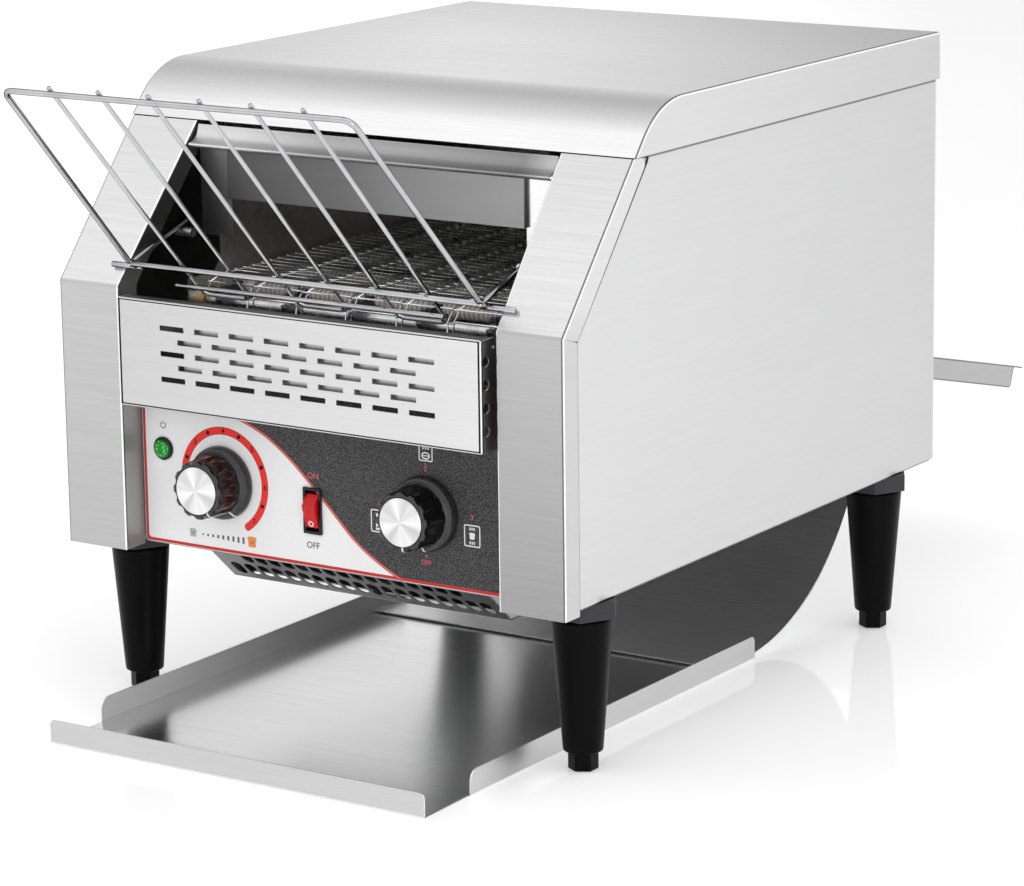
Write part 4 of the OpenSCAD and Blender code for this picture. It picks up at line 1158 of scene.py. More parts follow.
    # right box: slice between two heaters
    frame_box(102.4, 113.9, 134.0, 147.4)
    white.append(toast(108.1, 140.6, 1.75, WHITE_INK))
    for z in (144.9, 136.4):
        for k in (-1, 0, 1):
            white.append(decal("h", rrect(108.1 + k * 1.5 - 0.42, 108.1 + k * 1.5 + 0.42, z - 0.95, z + 0.95, 0.3, 2), WHITE_INK, 0.03, 0.05))
    # top box: bun under one heater
    frame_box(70.9, 80.9, 181.8, 195.0)
    bun = [(75.9 + 3.1 * math.cos(a), 185.2 + 2.3 * math.sin(a)) for a in [2 * math.pi * k / 28 for k in range(28)]]
    bun_in = [(75.9 + 2.2 * math.cos(a), 185.2 + 1.45 * math.sin(a)) for a in [2 * math.pi * k / 28 for k in range(28)]]
    white.append(decal("bun", bun, WHITE_INK, 0.03, 0.05, [bun_in]))
    white.append(decal("bunl", rrect(73.4, 78.4, 184.9, 185.5, 0.2, 2), WHITE_INK, 0.03, 0.05))
    for k in (-1, 0, 1):
        white.append(decal("h", rrect(75.9 + k * 1.9 - 0.5, 75.9 + k * 1.9 + 0.5, 189.0, 191.2, 0.3, 2), WHITE_INK, 0.03, 0.05))
    # left box: slice on edge beside its heaters
    frame_box(35.3, 45.6, 134.0, 148.0)
    for k, (a, b) in enumerate(((145.8, 143.4), (142.6, 140.8))):
        white.append(decal("h", rrect(39.2, 40.6, b, a, 0.4, 2), WHITE_INK, 0.03, 0.05))
    white.append(decal("h", fillet([(39.0, 139.6), (41.2, 139.6), (41.2, 138.4), (39.0, 137.0)], 0.2, 2, closed=True), WHITE_INK, 0.03, 0.05))
    white.append(decal("h", rrect(38.8, 42.8, 135.5, 136.9, 0.3, 2), WHITE_INK, 0.03, 0.05))
    obj("selector_symbols", to_mesh(join_bm(*white), "selector_symbols"), WHITE_INK, wn=False, smooth=False)

    # pale and browned slice at the two ends of the speed scale, with a plain wedge between them
    g = toast(-99.7, 115.6, 2.3, GREY_INK)
    obj("scale_pale_slice", to_mesh(g, "scale_pale_slice"), PALE_GREY, wn=False, smooth=False)
    o = toast(-54.3, 115.4, 2.9, ORANGE_INK)
    obj("scale_brown_slice", to_mesh(o, "scale_brown_slice"), ORANGE_INK, wn=False, smooth=False)
    wedge = []
    for k in range(9):
        x = -92.0 + k * 3.9
        h = 0.5 + 0.19 * k
        wedge.append(decal("w", rrect(x - 0.75, x + 0.75, 115.4 - h, 115.4 + h, 0.3, 2), GREY_INK, 0.03, 0.05))
    for x, z, k in ((-99.7, 115.4, 0.8), (-54.3, 115.1, 1.0)):
        for q in (-1, 0, 1):
            wedge.append(decal("w", band_path([(x + q * 1.05 * k - 0.5 * k, z - 1.1 * k), (x + q * 1.05 * k + 0.1 * k, z - 0.2 * k), (x + q * 1.05 * k - 0.1 * k, z + 0.2 * k), (x + q * 1.05 * k + 0.5 * k, z + 1.1 * k)], 0.32 * k), GREY_INK, 0.02, 0.085))
    # ring with a bar over the lamp
    pc = (-120.6, 181.2)
    ringp = [(pc[0] + 2.0 * math.sin(math.radians(a)), pc[1] + 2.0 * math.cos(math.radians(a))) for a in [38 + (322 - 38) * k / 24 for k in range(25)]]
    wedge.append(decal("p", band_path(ringp, 0.55), GREY_INK, 0.03, 0.05))
    wedge.append(decal("p", rrect(pc[0] - 0.28, pc[0] + 0.28, pc[1] + 0.4, pc[1] + 2.7, 0.2, 2), GREY_INK, 0.03, 0.05))
    obj("panel_small_marks", to_mesh(join_bm(*wedge), "panel_small_marks"), GREY_INK, wn=False, smooth=False)


DIAL_EDGE = plastic("ink_dark_red", (0.10, 0.008, 0.008), 0.5, grain=2500, amount=0.08, bump=0.02)
PALE_RED = plastic("ink_pale_red", (0.85, 0.42, 0.40), 0.45, grain=2500, amount=0.04, bump=0.02)
INLET = plain_metal("steel_inlet", (0.30, 0.30, 0.305), 0.36, 500, 0.06)
PALE_GREY = plastic("ink_pale_grey", (0.44, 0.44, 0.44), 0.5, grain=2500, amount=0.04, bump=0.02)
S_POINTS = [(-136.4, 207.0), (-110.0, 202.6), (-82.0, 197.0), (-59.0, 190.6), (-43.0, 184.0), (-31.0, 176.4), (-18.4, 166.4), (-0.9, 150.0), (12.4, 136.9), (21.0, 128.6), (31.4, 120.6), (44.5, 112.9), (57.4, 106.5)]
panel_sheet()
overlay()


# ---------------------------------------------------------------- knobs
def knob(name, cx, body, pointer):
    """Skirt, scalloped grip and rim, drawn along -y from the panel."""
    y0, z0 = 17.2, 150.4
    prof = [(8.2, 0.0), (22.6, 0.0), (22.9, 0.3), (22.95, 1.6), (22.6, 3.6), (21.9, 4.9), (21.6, 5.15), (21.1, 5.35), (20.2, 6.0), (19.2, 7.0), (18.9, 7.3)]
    grip = [(18.9, 7.7), (18.85, 9), (18.7, 12), (18.5, 16), (18.35, 20), (18.28, 23.2), (18.1, 24.7), (17.7, 25.5), (17.1, 26.05), (16.4, 26.3), (15.6, 26.25), (15.05, 25.9), (15.0, 25.3), (8.0, 25.3)]
    N = 12

    def lobes(r, h, a):
        if h < 7.6 or r < 16.0:
            return r
        k = min(1.0, (h - 7.6) / 0.9)
        ph = ((a - pointer) / (2 * math.pi) * N) % 1.0
        d = abs(ph - 0.5) * 2  # 0 in the middle of a flute, 1 on a lobe
        dip = max(0.0, 1 - (d / 0.62) ** 2) ** 0.8
        return r - 1.35 * k * dip
    bm = lathe(prof + grip, 240, lobes)
    for f in bm.faces:
        c = f.calc_center_median()
        if c.z < 7.2 or c.z > 25.0:
            f.material_index = 1
    low = min(v.co.z for v in bm.verts)
    place_bm(bm, lambda u, v, w: (cx + u, y0 - w, z0 + v))
    obj(name + "_body", to_mesh(bm, name + "_body"), [GLOSS, SKIRT], body=body, repl=name)
    # painted pointer: down the rim, along the grip and down the skirt
    c, s = math.cos(pointer), math.sin(pointer)

    def strip(path, w, lift):
        b2 = bmesh.new()
        rows = []
        for r, h in path:
            row = []
            for q in (-w / 2, w / 2):
                row.append(b2.verts.new(V(cx + r * c - q * s, y0 - h, z0 + r * s + q * c)))
            rows.append(row)
        for a, b in zip(rows, rows[1:]):
            b2.faces.new((a[0], a[1], b[1], b[0]))
        bmesh.ops.recalc_face_normals(b2, faces=b2.faces)
        return b2
    p1 = strip([(15.1, 25.99), (15.6, 26.3), (16.4, 26.36), (17.13, 26.1), (17.75, 25.53), (18.16, 24.7), (18.33, 23.2), (18.4, 20), (18.55, 16), (18.9, 9.0)], 1.15, 0)
    p2 = strip([(18.95, 7.35), (19.25, 7.03), (20.25, 6.03), (21.15, 5.38), (21.65, 5.18), (21.95, 4.93), (22.65, 3.62), (22.98, 1.6)], 1.15, 0)
    j = join_bm(p1, p2)
    for v in j.verts:
        pass
    me = to_mesh(j, name + "_pointer")
    ob = obj(name + "_pointer", me, WHITE_INK, body=body, thick=0.08, wn=False)
    ob.modifiers["thickness"].offset = 0.0
    # cap
    cp = lathe([(0, 27.15), (4, 27.14), (9, 27.1), (13.9, 27.0), (14.5, 26.75), (14.9, 26.3), (14.95, 25.4), (0, 25.3)], 128)
    place_bm(cp, lambda u, v, w: (u, -w + YM, v))
    ob = obj(name + "_cap_disc", to_mesh(cp, name + "_cap_disc"), SPUN, body=body, repl=name + "_cap")
    ob.location = V(cx, y0, z0)
    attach(ob, body)


knob("speed_knob", -75.5, "speed_control", math.radians(-58))
knob("heat_knob", 75.5, "heat_selector", math.radians(-86))


# ---------------------------------------------------------------- rocker and lamp
def rocker():
    cx, cz = -7.2, 141.2
    outer = rrect(cx - 6.7, cx + 6.7, cz - 14.4, cz + 14.4, 0.7, 3)
    inner = rrect(cx - 4.8, cx + 4.8, cz - 12.4, cz + 12.4, 0.5, 3)
    bz = place_bm(curve_plate(outer, [inner], 1.65, 0.35, 2), lambda u, v, w: (u, 17.65 - w, v))
    wall = place_bm(curve_plate(rrect(cx - 5.6, cx + 5.6, cz - 13, cz + 13, 0.5, 2), [inner], 15.0, 0.1), lambda u, v, w: (u, 17.4 + w, v))
    back = box_bm(cx - 5.5, cx + 5.5, 31.0, 32.9, cz - 12.9, cz + 12.9)
    tabs = [box_bm(cx - 2.4, cx + 2.4, 32.5, 39.6, cz + z - 0.4, cz + z + 0.4) for z in (-9, 0, 9)]
    for b in tabs:
        for f in b.faces:
            f.material_index = 1
    obj("rocker_bezel_frame", to_mesh(join_bm(bz, wall, back, *tabs), "rocker_bezel_frame"), [GLOSS, BRONZE], repl="rocker_bezel")
    # button: a shallow V seen from the side, rounded, with its marks
    prof = fillet([(-3.1, 10.4), (-9.0, 3.7), (-4.7, -10.3), (1.5, -10.4), (5, -3), (5, 3), (0.5, 9.9)], [0.7, 0.7, 0.7, 0.8, 1, 1, 0.8], 6, closed=True)
    bm = bmesh.new()
    a = [bm.verts.new(V(cx - 4.55, 20.5 + p.x, cz + p.y)) for p in prof]
    b = [bm.verts.new(V(cx + 4.55, 20.5 + p.x, cz + p.y)) for p in prof]
    k = len(prof)
    for j in range(k):
        bm.faces.new((a[j], b[j], b[(j + 1) % k], a[(j + 1) % k]))
    bm.faces.new(a)
    bm.faces.new(b[::-1])
    bmesh.ops.recalc_face_normals(bm, faces=bm.faces)
    rim = [e for e in bm.edges if len(e.link_faces) == 2 and (abs(e.link_faces[0].normal.x) > 0.9) != (abs(e.link_faces[1].normal.x) > 0.9)]
    bmesh.ops.bevel(bm, geom=rim, offset=0.00045, segments=3, profile=0.5, affect="EDGES", clamp_overlap=True)
    pin = tube_bm([(cx - 5.35, 20.5, cz), (cx + 5.35, 20.5, cz)], 1.15, 16)
    obj("rocker_button_cap", to_mesh(join_bm(bm, pin), "rocker_button_cap"), RED, body="power_rocker", repl="rocker_button")

    def on_face(z):
        """y of the button's front at a height above its middle."""
        if z > 3.7:
            return 20.5 - 9.0 + (z - 3.7) / 6.7 * 5.9
        return 20.5 - 9.0 + (3.7 - z) / 14.0 * 4.3
    marks = []
    ringo = circle(cx, cz - 7.6, 1.9, 32)
    ringi = circle(cx, cz - 7.6, 1.15, 32)
    o = curve_plate(ringo, [ringi], 0.06, 0.015, 0)
    place_bm(o, lambda u, v, w: (u, on_face(v - cz) - w - 0.01, v))
    marks.append(o)
    i = curve_plate(rrect(cx - 0.3, cx + 0.3, cz - 0.6, cz + 2.6, 0.2, 2), [], 0.06, 0.015, 0)
    place_bm(i, lambda u, v, w: (u, on_face(v - cz) - w - 0.01, v))
    obj("rocker_bar_mark", to_mesh(i, "rocker_bar_mark"), MARK_DARK, body="power_rocker", wn=False)
    obj("rocker_marks", to_mesh(join_bm(*marks), "rocker_marks"), WHITE_INK, body="power_rocker", wn=False)


rocker()


def lamp():
    cx, cz = -120.5, 166.4
    ring = lathe([(5.05, 0.0), (7.1, 0.0), (7.3, 0.2), (7.3, 0.9), (7.0, 1.3), (6.3, 1.45), (5.7, 1.2), (5.05, 0.9)], 64)
    place_bm(ring, lambda u, v, w: (cx + u, 17.65 - w, cz + v))
    body = lathe([(5.0, 0), (5.9, 0), (5.9, 20.0), (5.5, 20.4), (0, 20.4), (0, 8), (5.0, 8), (5.0, 0)], 48)
    place_bm(body, lambda u, v, w: (cx + u, 17.4 + w, cz + v))
    tabs = [box_bm(cx + s * 2.4 - 0.4, cx + s * 2.4 + 0.4, 37.4, 44.0, 164.8, 168) for s in (-1, 1)]
    for b in tabs:
        for f in b.faces:
            f.material_index = 1
    obj("lamp_bezel_ring", to_mesh(join_bm(ring, body, *tabs), "lamp_bezel_ring"), [GLOSS, BRONZE], repl="lamp_bezel")
    # lens: a low dome cut into small diamonds
    bm = bmesh.new()
    n, R = 26, 6.15
    grid = {}

    def h(u, v):
        r = math.hypot(u, v)
        base = 2.95 * (1 - (r / 6.2) ** 2)
        a, b = (u + v) / 1.7, (u - v) / 1.7
        fa, fb = abs((a % 1.0) - 0.5), abs((b % 1.0) - 0.5)
        return base + 0.55 * (1 - fa - fb) * max(0.0, 1 - (r / 5.6) ** 6)
    m = 96
    rows = []
    rings = [R * (k / 30) for k in range(31)]
    ctr = bm.verts.new((0, 0, h(0, 0)))
    prev = None
    for r in rings[1:]:
        row = [bm.verts.new((r * math.cos(2 * math.pi * k / m), r * math.sin(2 * math.pi * k / m), h(r * math.cos(2 * math.pi * k / m), r * math.sin(2 * math.pi * k / m)))) for k in range(m)]
        if prev is None:
            for k in range(m):
                bm.faces.new((ctr, row[k], row[(k + 1) % m]))
        else:
            for k in range(m):
                bm.faces.new((prev[k], row[k], row[(k + 1) % m], prev[(k + 1) % m]))
        prev = row
    low = [bm.verts.new((v.co.x, v.co.y, -0.4)) for v in prev]
    for k in range(m):
        bm.faces.new((prev[k], low[k], low[(k + 1) % m], prev[(k + 1) % m]))
    bm.faces.new(low[::-1])
    lo = min(v.co.z for v in bm.verts)
    place_bm(bm, lambda u, v, w: (cx + u, 16.1 - w * 0.95, cz + v))
    stem = lathe([(0, 0.1), (4.9, 0.1), (4.9, 8.6), (0, 8.7)], 40)
    place_bm(stem, lambda u, v, w: (cx + u, 16.4 + w, cz + v))
    for f in bm.faces:
        c = f.calc_center_median() * 1000
        if math.hypot(c.x - cx, c.z - cz) > 5.25:
            f.material_index = 1
    obj("lamp_lens_dome", to_mesh(join_bm(bm, stem), "lamp_lens_dome"), [LENS, LENS_RIM], repl="lamp_lens", wn=False, smooth=False)


lamp()


# ---------------------------------------------------------------- bread rack
TOP, BOT, ARM, SUP = Vector((-114.8, 404.6)), Vector((0.7, 284.1)), Vector((58, 302.7)), Vector((7.3, 281.1))
RW, WW = 1.8, 1.35


def rack():
    xt, xb = 123.4, 127.9
    # one rod: arm, side, top bar, side, arm
    pts = [(-xb, ARM.x, ARM.y), (-xb, BOT.x, BOT.y), (-xt, TOP.x, TOP.y), (xt, TOP.x, TOP.y), (xb, BOT.x, BOT.y), (xb, ARM.x, ARM.y)]
    P = [Vector(p) for p in pts]
    main = round3([P[0], P[1], P[2]], 6.0, 7)[:-1]
    mid = round3([P[1], P[2], P[3], P[4]], 7.0, 9)[1:-1]
    end = round3([P[3], P[4], P[5]], 6.0, 7)[1:]
    path = main + mid + end
    parts = [tube_bm(path, RW, 16)]
    parts.append(tube_bm([(-xb + 1.2, BOT.x, BOT.y), (xb - 1.2, BOT.x, BOT.y)], RW, 16))
    for s in (-1, 1):
        parts.append(tube_bm([(s * (xb - 4), SUP.x, SUP.y), (s * 147.4, SUP.x, SUP.y)], RW, 16))
        parts.append(tube_bm([(s * xb, BOT.x + 0.6, BOT.y - 0.3), (s * xb, SUP.x, SUP.y)], RW * 0.9, 12))
        # weld beads
        for q in (BOT, SUP):
            parts.append(bead(s * xb, q.x, q.y, 2.1))
    parts.append(tube_bm([(-98, 7.0, 272.5), (98, 7.0, 272.5)], 1.55, 14))
    obj("rack_frame_rods", to_mesh(join_bm(*parts), "rack_frame_rods"), CHROME, body="bread_rack", repl="rack_frame", wn=False)

    d = (BOT - TOP).normalized()
    rn = Vector((-d.y, d.x))
    o = rn * (RW + WW + 0.02)
    t, b = TOP - d * 2.2 + o, BOT + d * 29.4 + o
    parts = []
    for x in (-72, 0, 72):
        pts = [(x - 18, t.x, t.y), (x - 18, b.x, b.y), (x + 18, b.x, b.y), (x + 18, t.x, t.y)]
        parts.append(tube_bm(round3(pts, 6.0, 8), WW, 14))
    obj("rack_guide_wires", to_mesh(join_bm(*parts), "rack_guide_wires"), CHROME, body="bread_rack", repl="rack_wires", wn=False)


def bead(x, y, z, r):
    bm = bmesh.new()
    bmesh.ops.create_icosphere(bm, subdivisions=2, radius=1.0)
    for v in bm.verts:
        k = 1 + 0.12 * math.sin(9 * v.co.x + 5 * v.co.z) * math.cos(7 * v.co.y)
        v.co = V(x + v.co.x * r * 0.85 * k, y + v.co.y * r * k, z + v.co.z * r * k)
    return bm


rack()


# ---------------------------------------------------------------- wire belt
def belt():
    ya, yb, zc, R = 64.0, 392.0, 252.0, 16.75
    L1 = yb - ya
    total = 2 * L1 + 2 * math.pi * R

    def at(s):
        s %= total
        if s < L1:
            return ya + s, zc + R
        s -= L1
        if s < math.pi * R:
            a = math.pi / 2 - s / R
            return yb + R * math.cos(a), zc + R * math.sin(a)
        s -= math.pi * R
        if s < L1:
            return yb - s, zc - R
        s -= L1
        a = -math.pi / 2 - s / R
        return ya + R * math.cos(a), zc + R * math.sin(a)
    n = 84
    p = total / n
    r = 0.62
    joints = [-111, -74, -37, 0, 37, 74, 111]
    bms = []
    for k in range(n):
        s0 = k * p
        line = []
        for j, xk in enumerate(joints):
            w = 2.2
            hook = s0 - p - 1.5
            if j == 0:
                seq = [(xk, hook), (xk + w, hook), (xk + w, s0)] if False else [(xk + 0.3, hook + 1.4), (xk + 1.0, hook), (xk + w, hook), (xk + w, s0)]
            elif j == len(joints) - 1:
                seq = [(xk - w, s0), (xk - w, hook), (xk - 1.0, hook), (xk - 0.3, hook + 1.4)]
            else:
                seq = [(xk - w, s0), (xk - w, hook), (xk + w, hook), (xk + w, s0)]
            line += seq
        pts = []
        for x, s in line:
            y, z = at(s)
            pts.append((x, y, z))
        # the hooks of a strand pass over the strand before it
        P3 = []
        for (x, s), q in zip(line, pts):
            up = 0.45 if s < s0 - 1 else -0.35
            y, z = q[1], q[2]
            y2, z2 = at(s + 0.2)
            tx, tz = y2 - y, z2 - z
            ln = math.hypot(tx, tz)
            nx, nz = -tz / ln, tx / ln
            P3.append((x, y + nx * up, z + nz * up))
        bms.append(tube_bm(P3, r, 6, cap=False))
    obj("wire_belt", to_mesh(join_bm(*bms), "wire_belt"), BELT, repl="conveyor_belt", wn=False)


belt()


# ---------------------------------------------------------------- tray, chute, deflector
def tray():
    tx = 138.0
    bm = bmesh.new()
    nose = fillet([(-tx, 0.0), (tx, 0.0), (tx, 0.0)], 0)
    # floor, front lip and side walls as one bent sheet, outer surface
    def vv(x, y, z):
        return bm.verts.new(V(x, y, z))
    f0, f1, f2, f3 = vv(-tx, -79.4, 0), vv(tx, -79.4, 0), vv(tx, 297, 0), vv(-tx, 297, 0)
    a0, a1 = vv(tx, -31.8, 0), vv(-tx, -31.8, 0)
    bm.faces.new((f0, f1, a0, f2, f3, a1))
    lip = fillet([(-tx, 0), (-tx, 14.8), (tx, 14.8), (tx, 0)], [0, 3.2, 3.2, 0], 5)
    lv = [f0] + [vv(p.x, -79.4, p.y) for p in lip[1:-1]] + [f1]
    bm.faces.new(lv)
    wall = fillet([(-31.8, 0), (-31.8, 15.5), (297, 15.5), (297, 0)], [0, 8, 4, 0], 6)
    wr = [a0] + [vv(tx, p.x, p.y) for p in wall[1:-1]] + [f2]
    bm.faces.new(wr)
    wl = [a1] + [vv(-tx, p.x, p.y) for p in wall[1:-1]] + [f3]
    bm.faces.new(wl)
    bmesh.ops.recalc_face_normals(bm, faces=bm.faces)
    fl = [f for f in bm.faces if abs(f.normal.z) > 0.9]
    if fl[0].normal.z > 0:
        bmesh.ops.reverse_faces(bm, faces=bm.faces)
    ed = [e for e in bm.edges if len(e.link_faces) == 2]
    bmesh.ops.bevel(bm, geom=ed, offset=0.0012, segments=4, profile=0.5, affect="EDGES", clamp_overlap=False)
    # painted shade on the front lip; painted shade on the right wall and painted light on the left
    for f in bm.faces:
        if abs(f.normal.y) > 0.9:
            f.material_index = 1
        elif abs(f.normal.x) > 0.9:
            f.material_index = 2 if f.calc_center_median().x > 0 else 4
    obj("toast_tray_sheet", to_mesh(bm, "toast_tray_sheet"), [STEEL_TRAY, STEEL_LIP, STEEL_WALL_R, RIM, STEEL_WALL_L], body="tray", repl="toast_tray", thick=1.0, rim=0.15, cut=3)


tray()


# the chute's front cut edge is darker: partly the rough cut's own colour, partly painted shade so the edge shows no
# bright line
CHUTE_EDGE = plain_metal("steel_chute_edge", (0.42, 0.42, 0.425), 0.45, 500, 0.08)


def chute():
    path = [Vector((258, 2.0)), Vector((270, 2.0))] + arc(287.5, 167.0, 165.0, -90, 0, 72)
    me = strip_x("chute_sheet", path, 1.0, -136.6, 136.6)
    # painted shade on the chute's front cut edge
    for p in me.polygons:
        if abs(p.normal.y) > 0.7 and p.center.y < V(0, 262, 0).y:
            p.material_index = 1
    obj("return_chute_sheet", me, [STEEL_CHUTE, CHUTE_EDGE], repl="return_chute", rim=0.15, angle=50)


chute()


def deflector():
    root, end = Vector((454.9, 174.5)), Vector((641, 130.7))
    d = (end - root).normalized()
    n = Vector((d.y, -d.x))
    x1 = 158.0
    bm = bmesh.new()
    v = lambda x, p: bm.verts.new(V(x, p.x, p.y))
    up = root + Vector((-0.9, 16))
    r0 = root + Vector((-0.9, 1.0))
    path = [up, r0, end + Vector((0, 0.95))]
    Lp, Rp = [v(-x1, p) for p in path], [v(x1, p) for p in path]
    for i in (0, 1):
        bm.faces.new((Lp[i], Rp[i], Rp[i + 1], Lp[i + 1]))
    bm.verts.ensure_lookup_table()
    e1 = end - d * 13.5
    fl = fillet([r0, e1 + Vector((0, 0.95)), end - d * 15.6 + n * 14.6, root + Vector((-0.5, -14.2))], [0, 0.5, 3.4, 0], 6)
    for s, E in ((-1, Lp), (1, Rp)):
        pts = [E[1]] + [v(s * x1, p) for p in fl[1:]]
        # the plate's edge carries the flange as far as its corner
        bm.faces.new(pts)
    bmesh.ops.remove_doubles(bm, verts=bm.verts, dist=1e-6)
    bmesh.ops.recalc_face_normals(bm, faces=bm.faces)
    t = [f for f in bm.faces if f.normal.z > 0.9]
    if not t:
        bmesh.ops.reverse_faces(bm, faces=bm.faces)
    flanges = [f for f in bm.faces if abs(f.normal.x) > 0.9]
    bmesh.ops.inset_individual(bm, faces=flanges, thickness=0.0009, depth=0.0, use_even_offset=True)
    bm.normal_update()
    # painted shade: the large flange faces take a darker steel, and the inset border round them the dark edge steel
    inner = sorted([f for f in bm.faces if abs(f.normal.x) > 0.9], key=lambda f: -f.calc_area())[:2]
    for f in bm.faces:
        if abs(f.normal.x) > 0.9:
            f.material_index = 1 if f in inner else 3
    obj("rear_deflector_sheet", to_mesh(bm, "rear_deflector_sheet"), [STEEL_TRAY, STEEL_DEFL, RIM, PAINTED_SHADE_EDGE], repl="rear_deflector", thick=1.0, rim=0.2, cut=2)


deflector()


# ---------------------------------------------------------------- legs
LEGS = [(-165.4, 46.7, "front_left"), (165.4, 46.7, "front_right"), (-165.4, 406.6, "rear_left"), (165.4, 406.6, "rear_right")]


def legs():
    parts = []
    for x, y, _ in LEGS:
        prof = [(4.1, 11.5), (11.2, 11.4), (11.9, 11.9), (12.15, 13.0)]
        for k in range(1, 20):
            t = k / 20
            prof.append((12.15 + (18.15 - 12.15) * t, 13.0 + (90.6 - 13.0) * t))
        prof += [(18.2, 91.4), (18.05, 92.4), (17.55, 93.3), (16.6, 94.2), (15.0, 94.68), (4.1, 94.7)]
        b = lathe(prof, 72)
        place_bm(b, (lambda x, y: lambda u, v, w: (x + u, y + v, w))(x, y))
        parts.append(b)
        bolt = lathe([(4, 94), (4, 112.9), (3.5, 113.4), (0, 113.4)], 24)
        place_bm(bolt, (lambda x, y: lambda u, v, w: (x + u, y + v, w))(x, y))
        nut = lathe([(4, 107.9), (6.9, 107.9), (7.3, 108.5), (7.3, 112.2), (6.9, 112.8), (4, 112.8)], 6)
        place_bm(nut, (lambda x, y: lambda u, v, w: (x + u, y + v, w))(x, y))
        for q in (bolt, nut):
            for f in q.faces:
                f.material_index = 1
        parts += [bolt, nut]
    obj("cone_legs", to_mesh(join_bm(*parts), "cone_legs"), [LEG, TURNED], repl="legs", angle=40)
    parts = []
    for x, y, _ in LEGS:
        bm = hex_prism(x, y, 94.72, 105.4, 23.0, 0.0, 0.6)
        parts.append(bm)
    obj("leg_collar_hexes", to_mesh(join_bm(*parts), "leg_collar_hexes"), COLLAR, repl="leg_collars")
    for (x, y, nm), bd in zip(LEGS, ("fl", "fr", "rl", "rr")):
        hexa = hex_prism(x, y, 0.0, 11.3, 9.2, 90.0, 0.5)
        stud = lathe([(4.0, 11.2), (4.0, 51)] + [(0, 51.2)], 24)
        place_bm(stud, (lambda x, y: lambda u, v, w: (x + u, y + v, w))(x, y))
        obj("foot_" + nm + "_hex", to_mesh(join_bm(hexa, stud), "foot_" + nm), LEG, body="levelling_foot_" + bd, repl="foot_" + nm)


def hex_prism(x, y, z0, z1, r, turn, b):
    """A hexagonal prism with small chamfers on its rims and uprights."""
    bm = bmesh.new()
    lo = [bm.verts.new(V(x + r * math.cos(math.radians(turn + 60 * k)), y + r * math.sin(math.radians(turn + 60 * k)), z0)) for k in range(6)]
    hi = [bm.verts.new(V(x + r * math.cos(math.radians(turn + 60 * k)), y + r * math.sin(math.radians(turn + 60 * k)), z1)) for k in range(6)]
    for k in range(6):
        bm.faces.new((lo[k], lo[(k + 1) % 6], hi[(k + 1) % 6], hi[k]))
    bm.faces.new(lo[::-1])
    bm.faces.new(hi)
    bmesh.ops.recalc_face_normals(bm, faces=bm.faces)
    bmesh.ops.bevel(bm, geom=bm.edges[:], offset=b * 0.001, segments=2, profile=0.5, affect="EDGES", clamp_overlap=True)
    return bm


legs()


# ---------------------------------------------------------------- air inlet
def inlet():
    x1 = 104.0
    A, B = Vector((32.4, 105.5)), Vector((63.5, 77.5))
    L = (B - A).length
    d = (B - A) / L
    n = Vector((-d.y, d.x))
    if n.x > 0:
        n = -n
    # the sloping front as a plate with slanted oval holes: u along x, v down the slope
    holes = []
    for row, k in ((0, 19), (1, 16)):
        for i in range(k):
            ux, vz = (i - (k - 1) / 2) * 10.38, L - 11.9 - row * 17.6
            holes.append([(ux + 4 * math.cos(2 * math.pi * q / 32), vz + 4 * math.sin(2 * math.pi * q / 32) + (3.3 if 0 < q < 16 else -3.3)) for q in range(32)])
    plate = curve_plate([(-x1, 0), (x1, 0), (x1, L), (-x1, L)], holes, 0.9, 0.1)
    place_bm(plate, lambda u, v, w: (u, A.x + d.x * v - n.x * w, A.y + d.y * v - n.y * w))
    flange = box_bm(-x1, x1, 24, 32.9, 105.5, 106.4)
    floor = curve_plate([(-x1, 63.1), (x1, 63.1), (x1, 124.0), (-x1, 124.0)], [rrect(q * 50.5 - 46, q * 50.5 + 46, 67.4, 75.6, 2, 3) for q in (-1, 1)], 1.0, 0.1)
    place_bm(floor, lambda u, v, w: (u, v, 77.5 + w))
    back = strip_solid([(123, 77.5), (124.2, 77.5), (129.9, 105.5), (138, 105.5)], -1.0, -x1, x1, 0.4)
    sides = []
    for s in (-1, 1):
        b = curve_plate([(33.0, 105.3), (63.8, 77.7), (123.9, 77.7), (129.6, 105.3)], [], 1.0, 0.1)
        place_bm(b, (lambda s: lambda u, v, w: (s * (x1 - 1 + w), u, v))(s))
        sides.append(b)
    obj("air_inlet_sheet", to_mesh(join_bm(plate, flange, floor, back, *sides), "air_inlet_sheet"), INLET, repl="air_inlet_box")


inlet()


# ---------------------------------------------------------------- finishes of the CAD nodes that stay
def finish(node, mats, weld=True, bevel=0.0):
    o = frame["nodes"][node]
    mats = mats if isinstance(mats, (list, tuple)) else [mats]
    o.data.materials.clear()
    for m in mats:
        o.data.materials.append(m)
    for p in o.data.polygons:
        p.material_index = 0
    if bevel:
        w = o.modifiers.new("weld", "WELD")
        w.merge_threshold = 1e-6
        md = o.modifiers.new("edges", "BEVEL")
        md.width, md.segments = bevel * 0.001, 2
        md.limit_method, md.angle_limit = "ANGLE", math.radians(40)
        md.use_clamp_overlap = True
        wn = o.modifiers.new("normals", "WEIGHTED_NORMAL")
        wn.keep_sharp = False
    return o


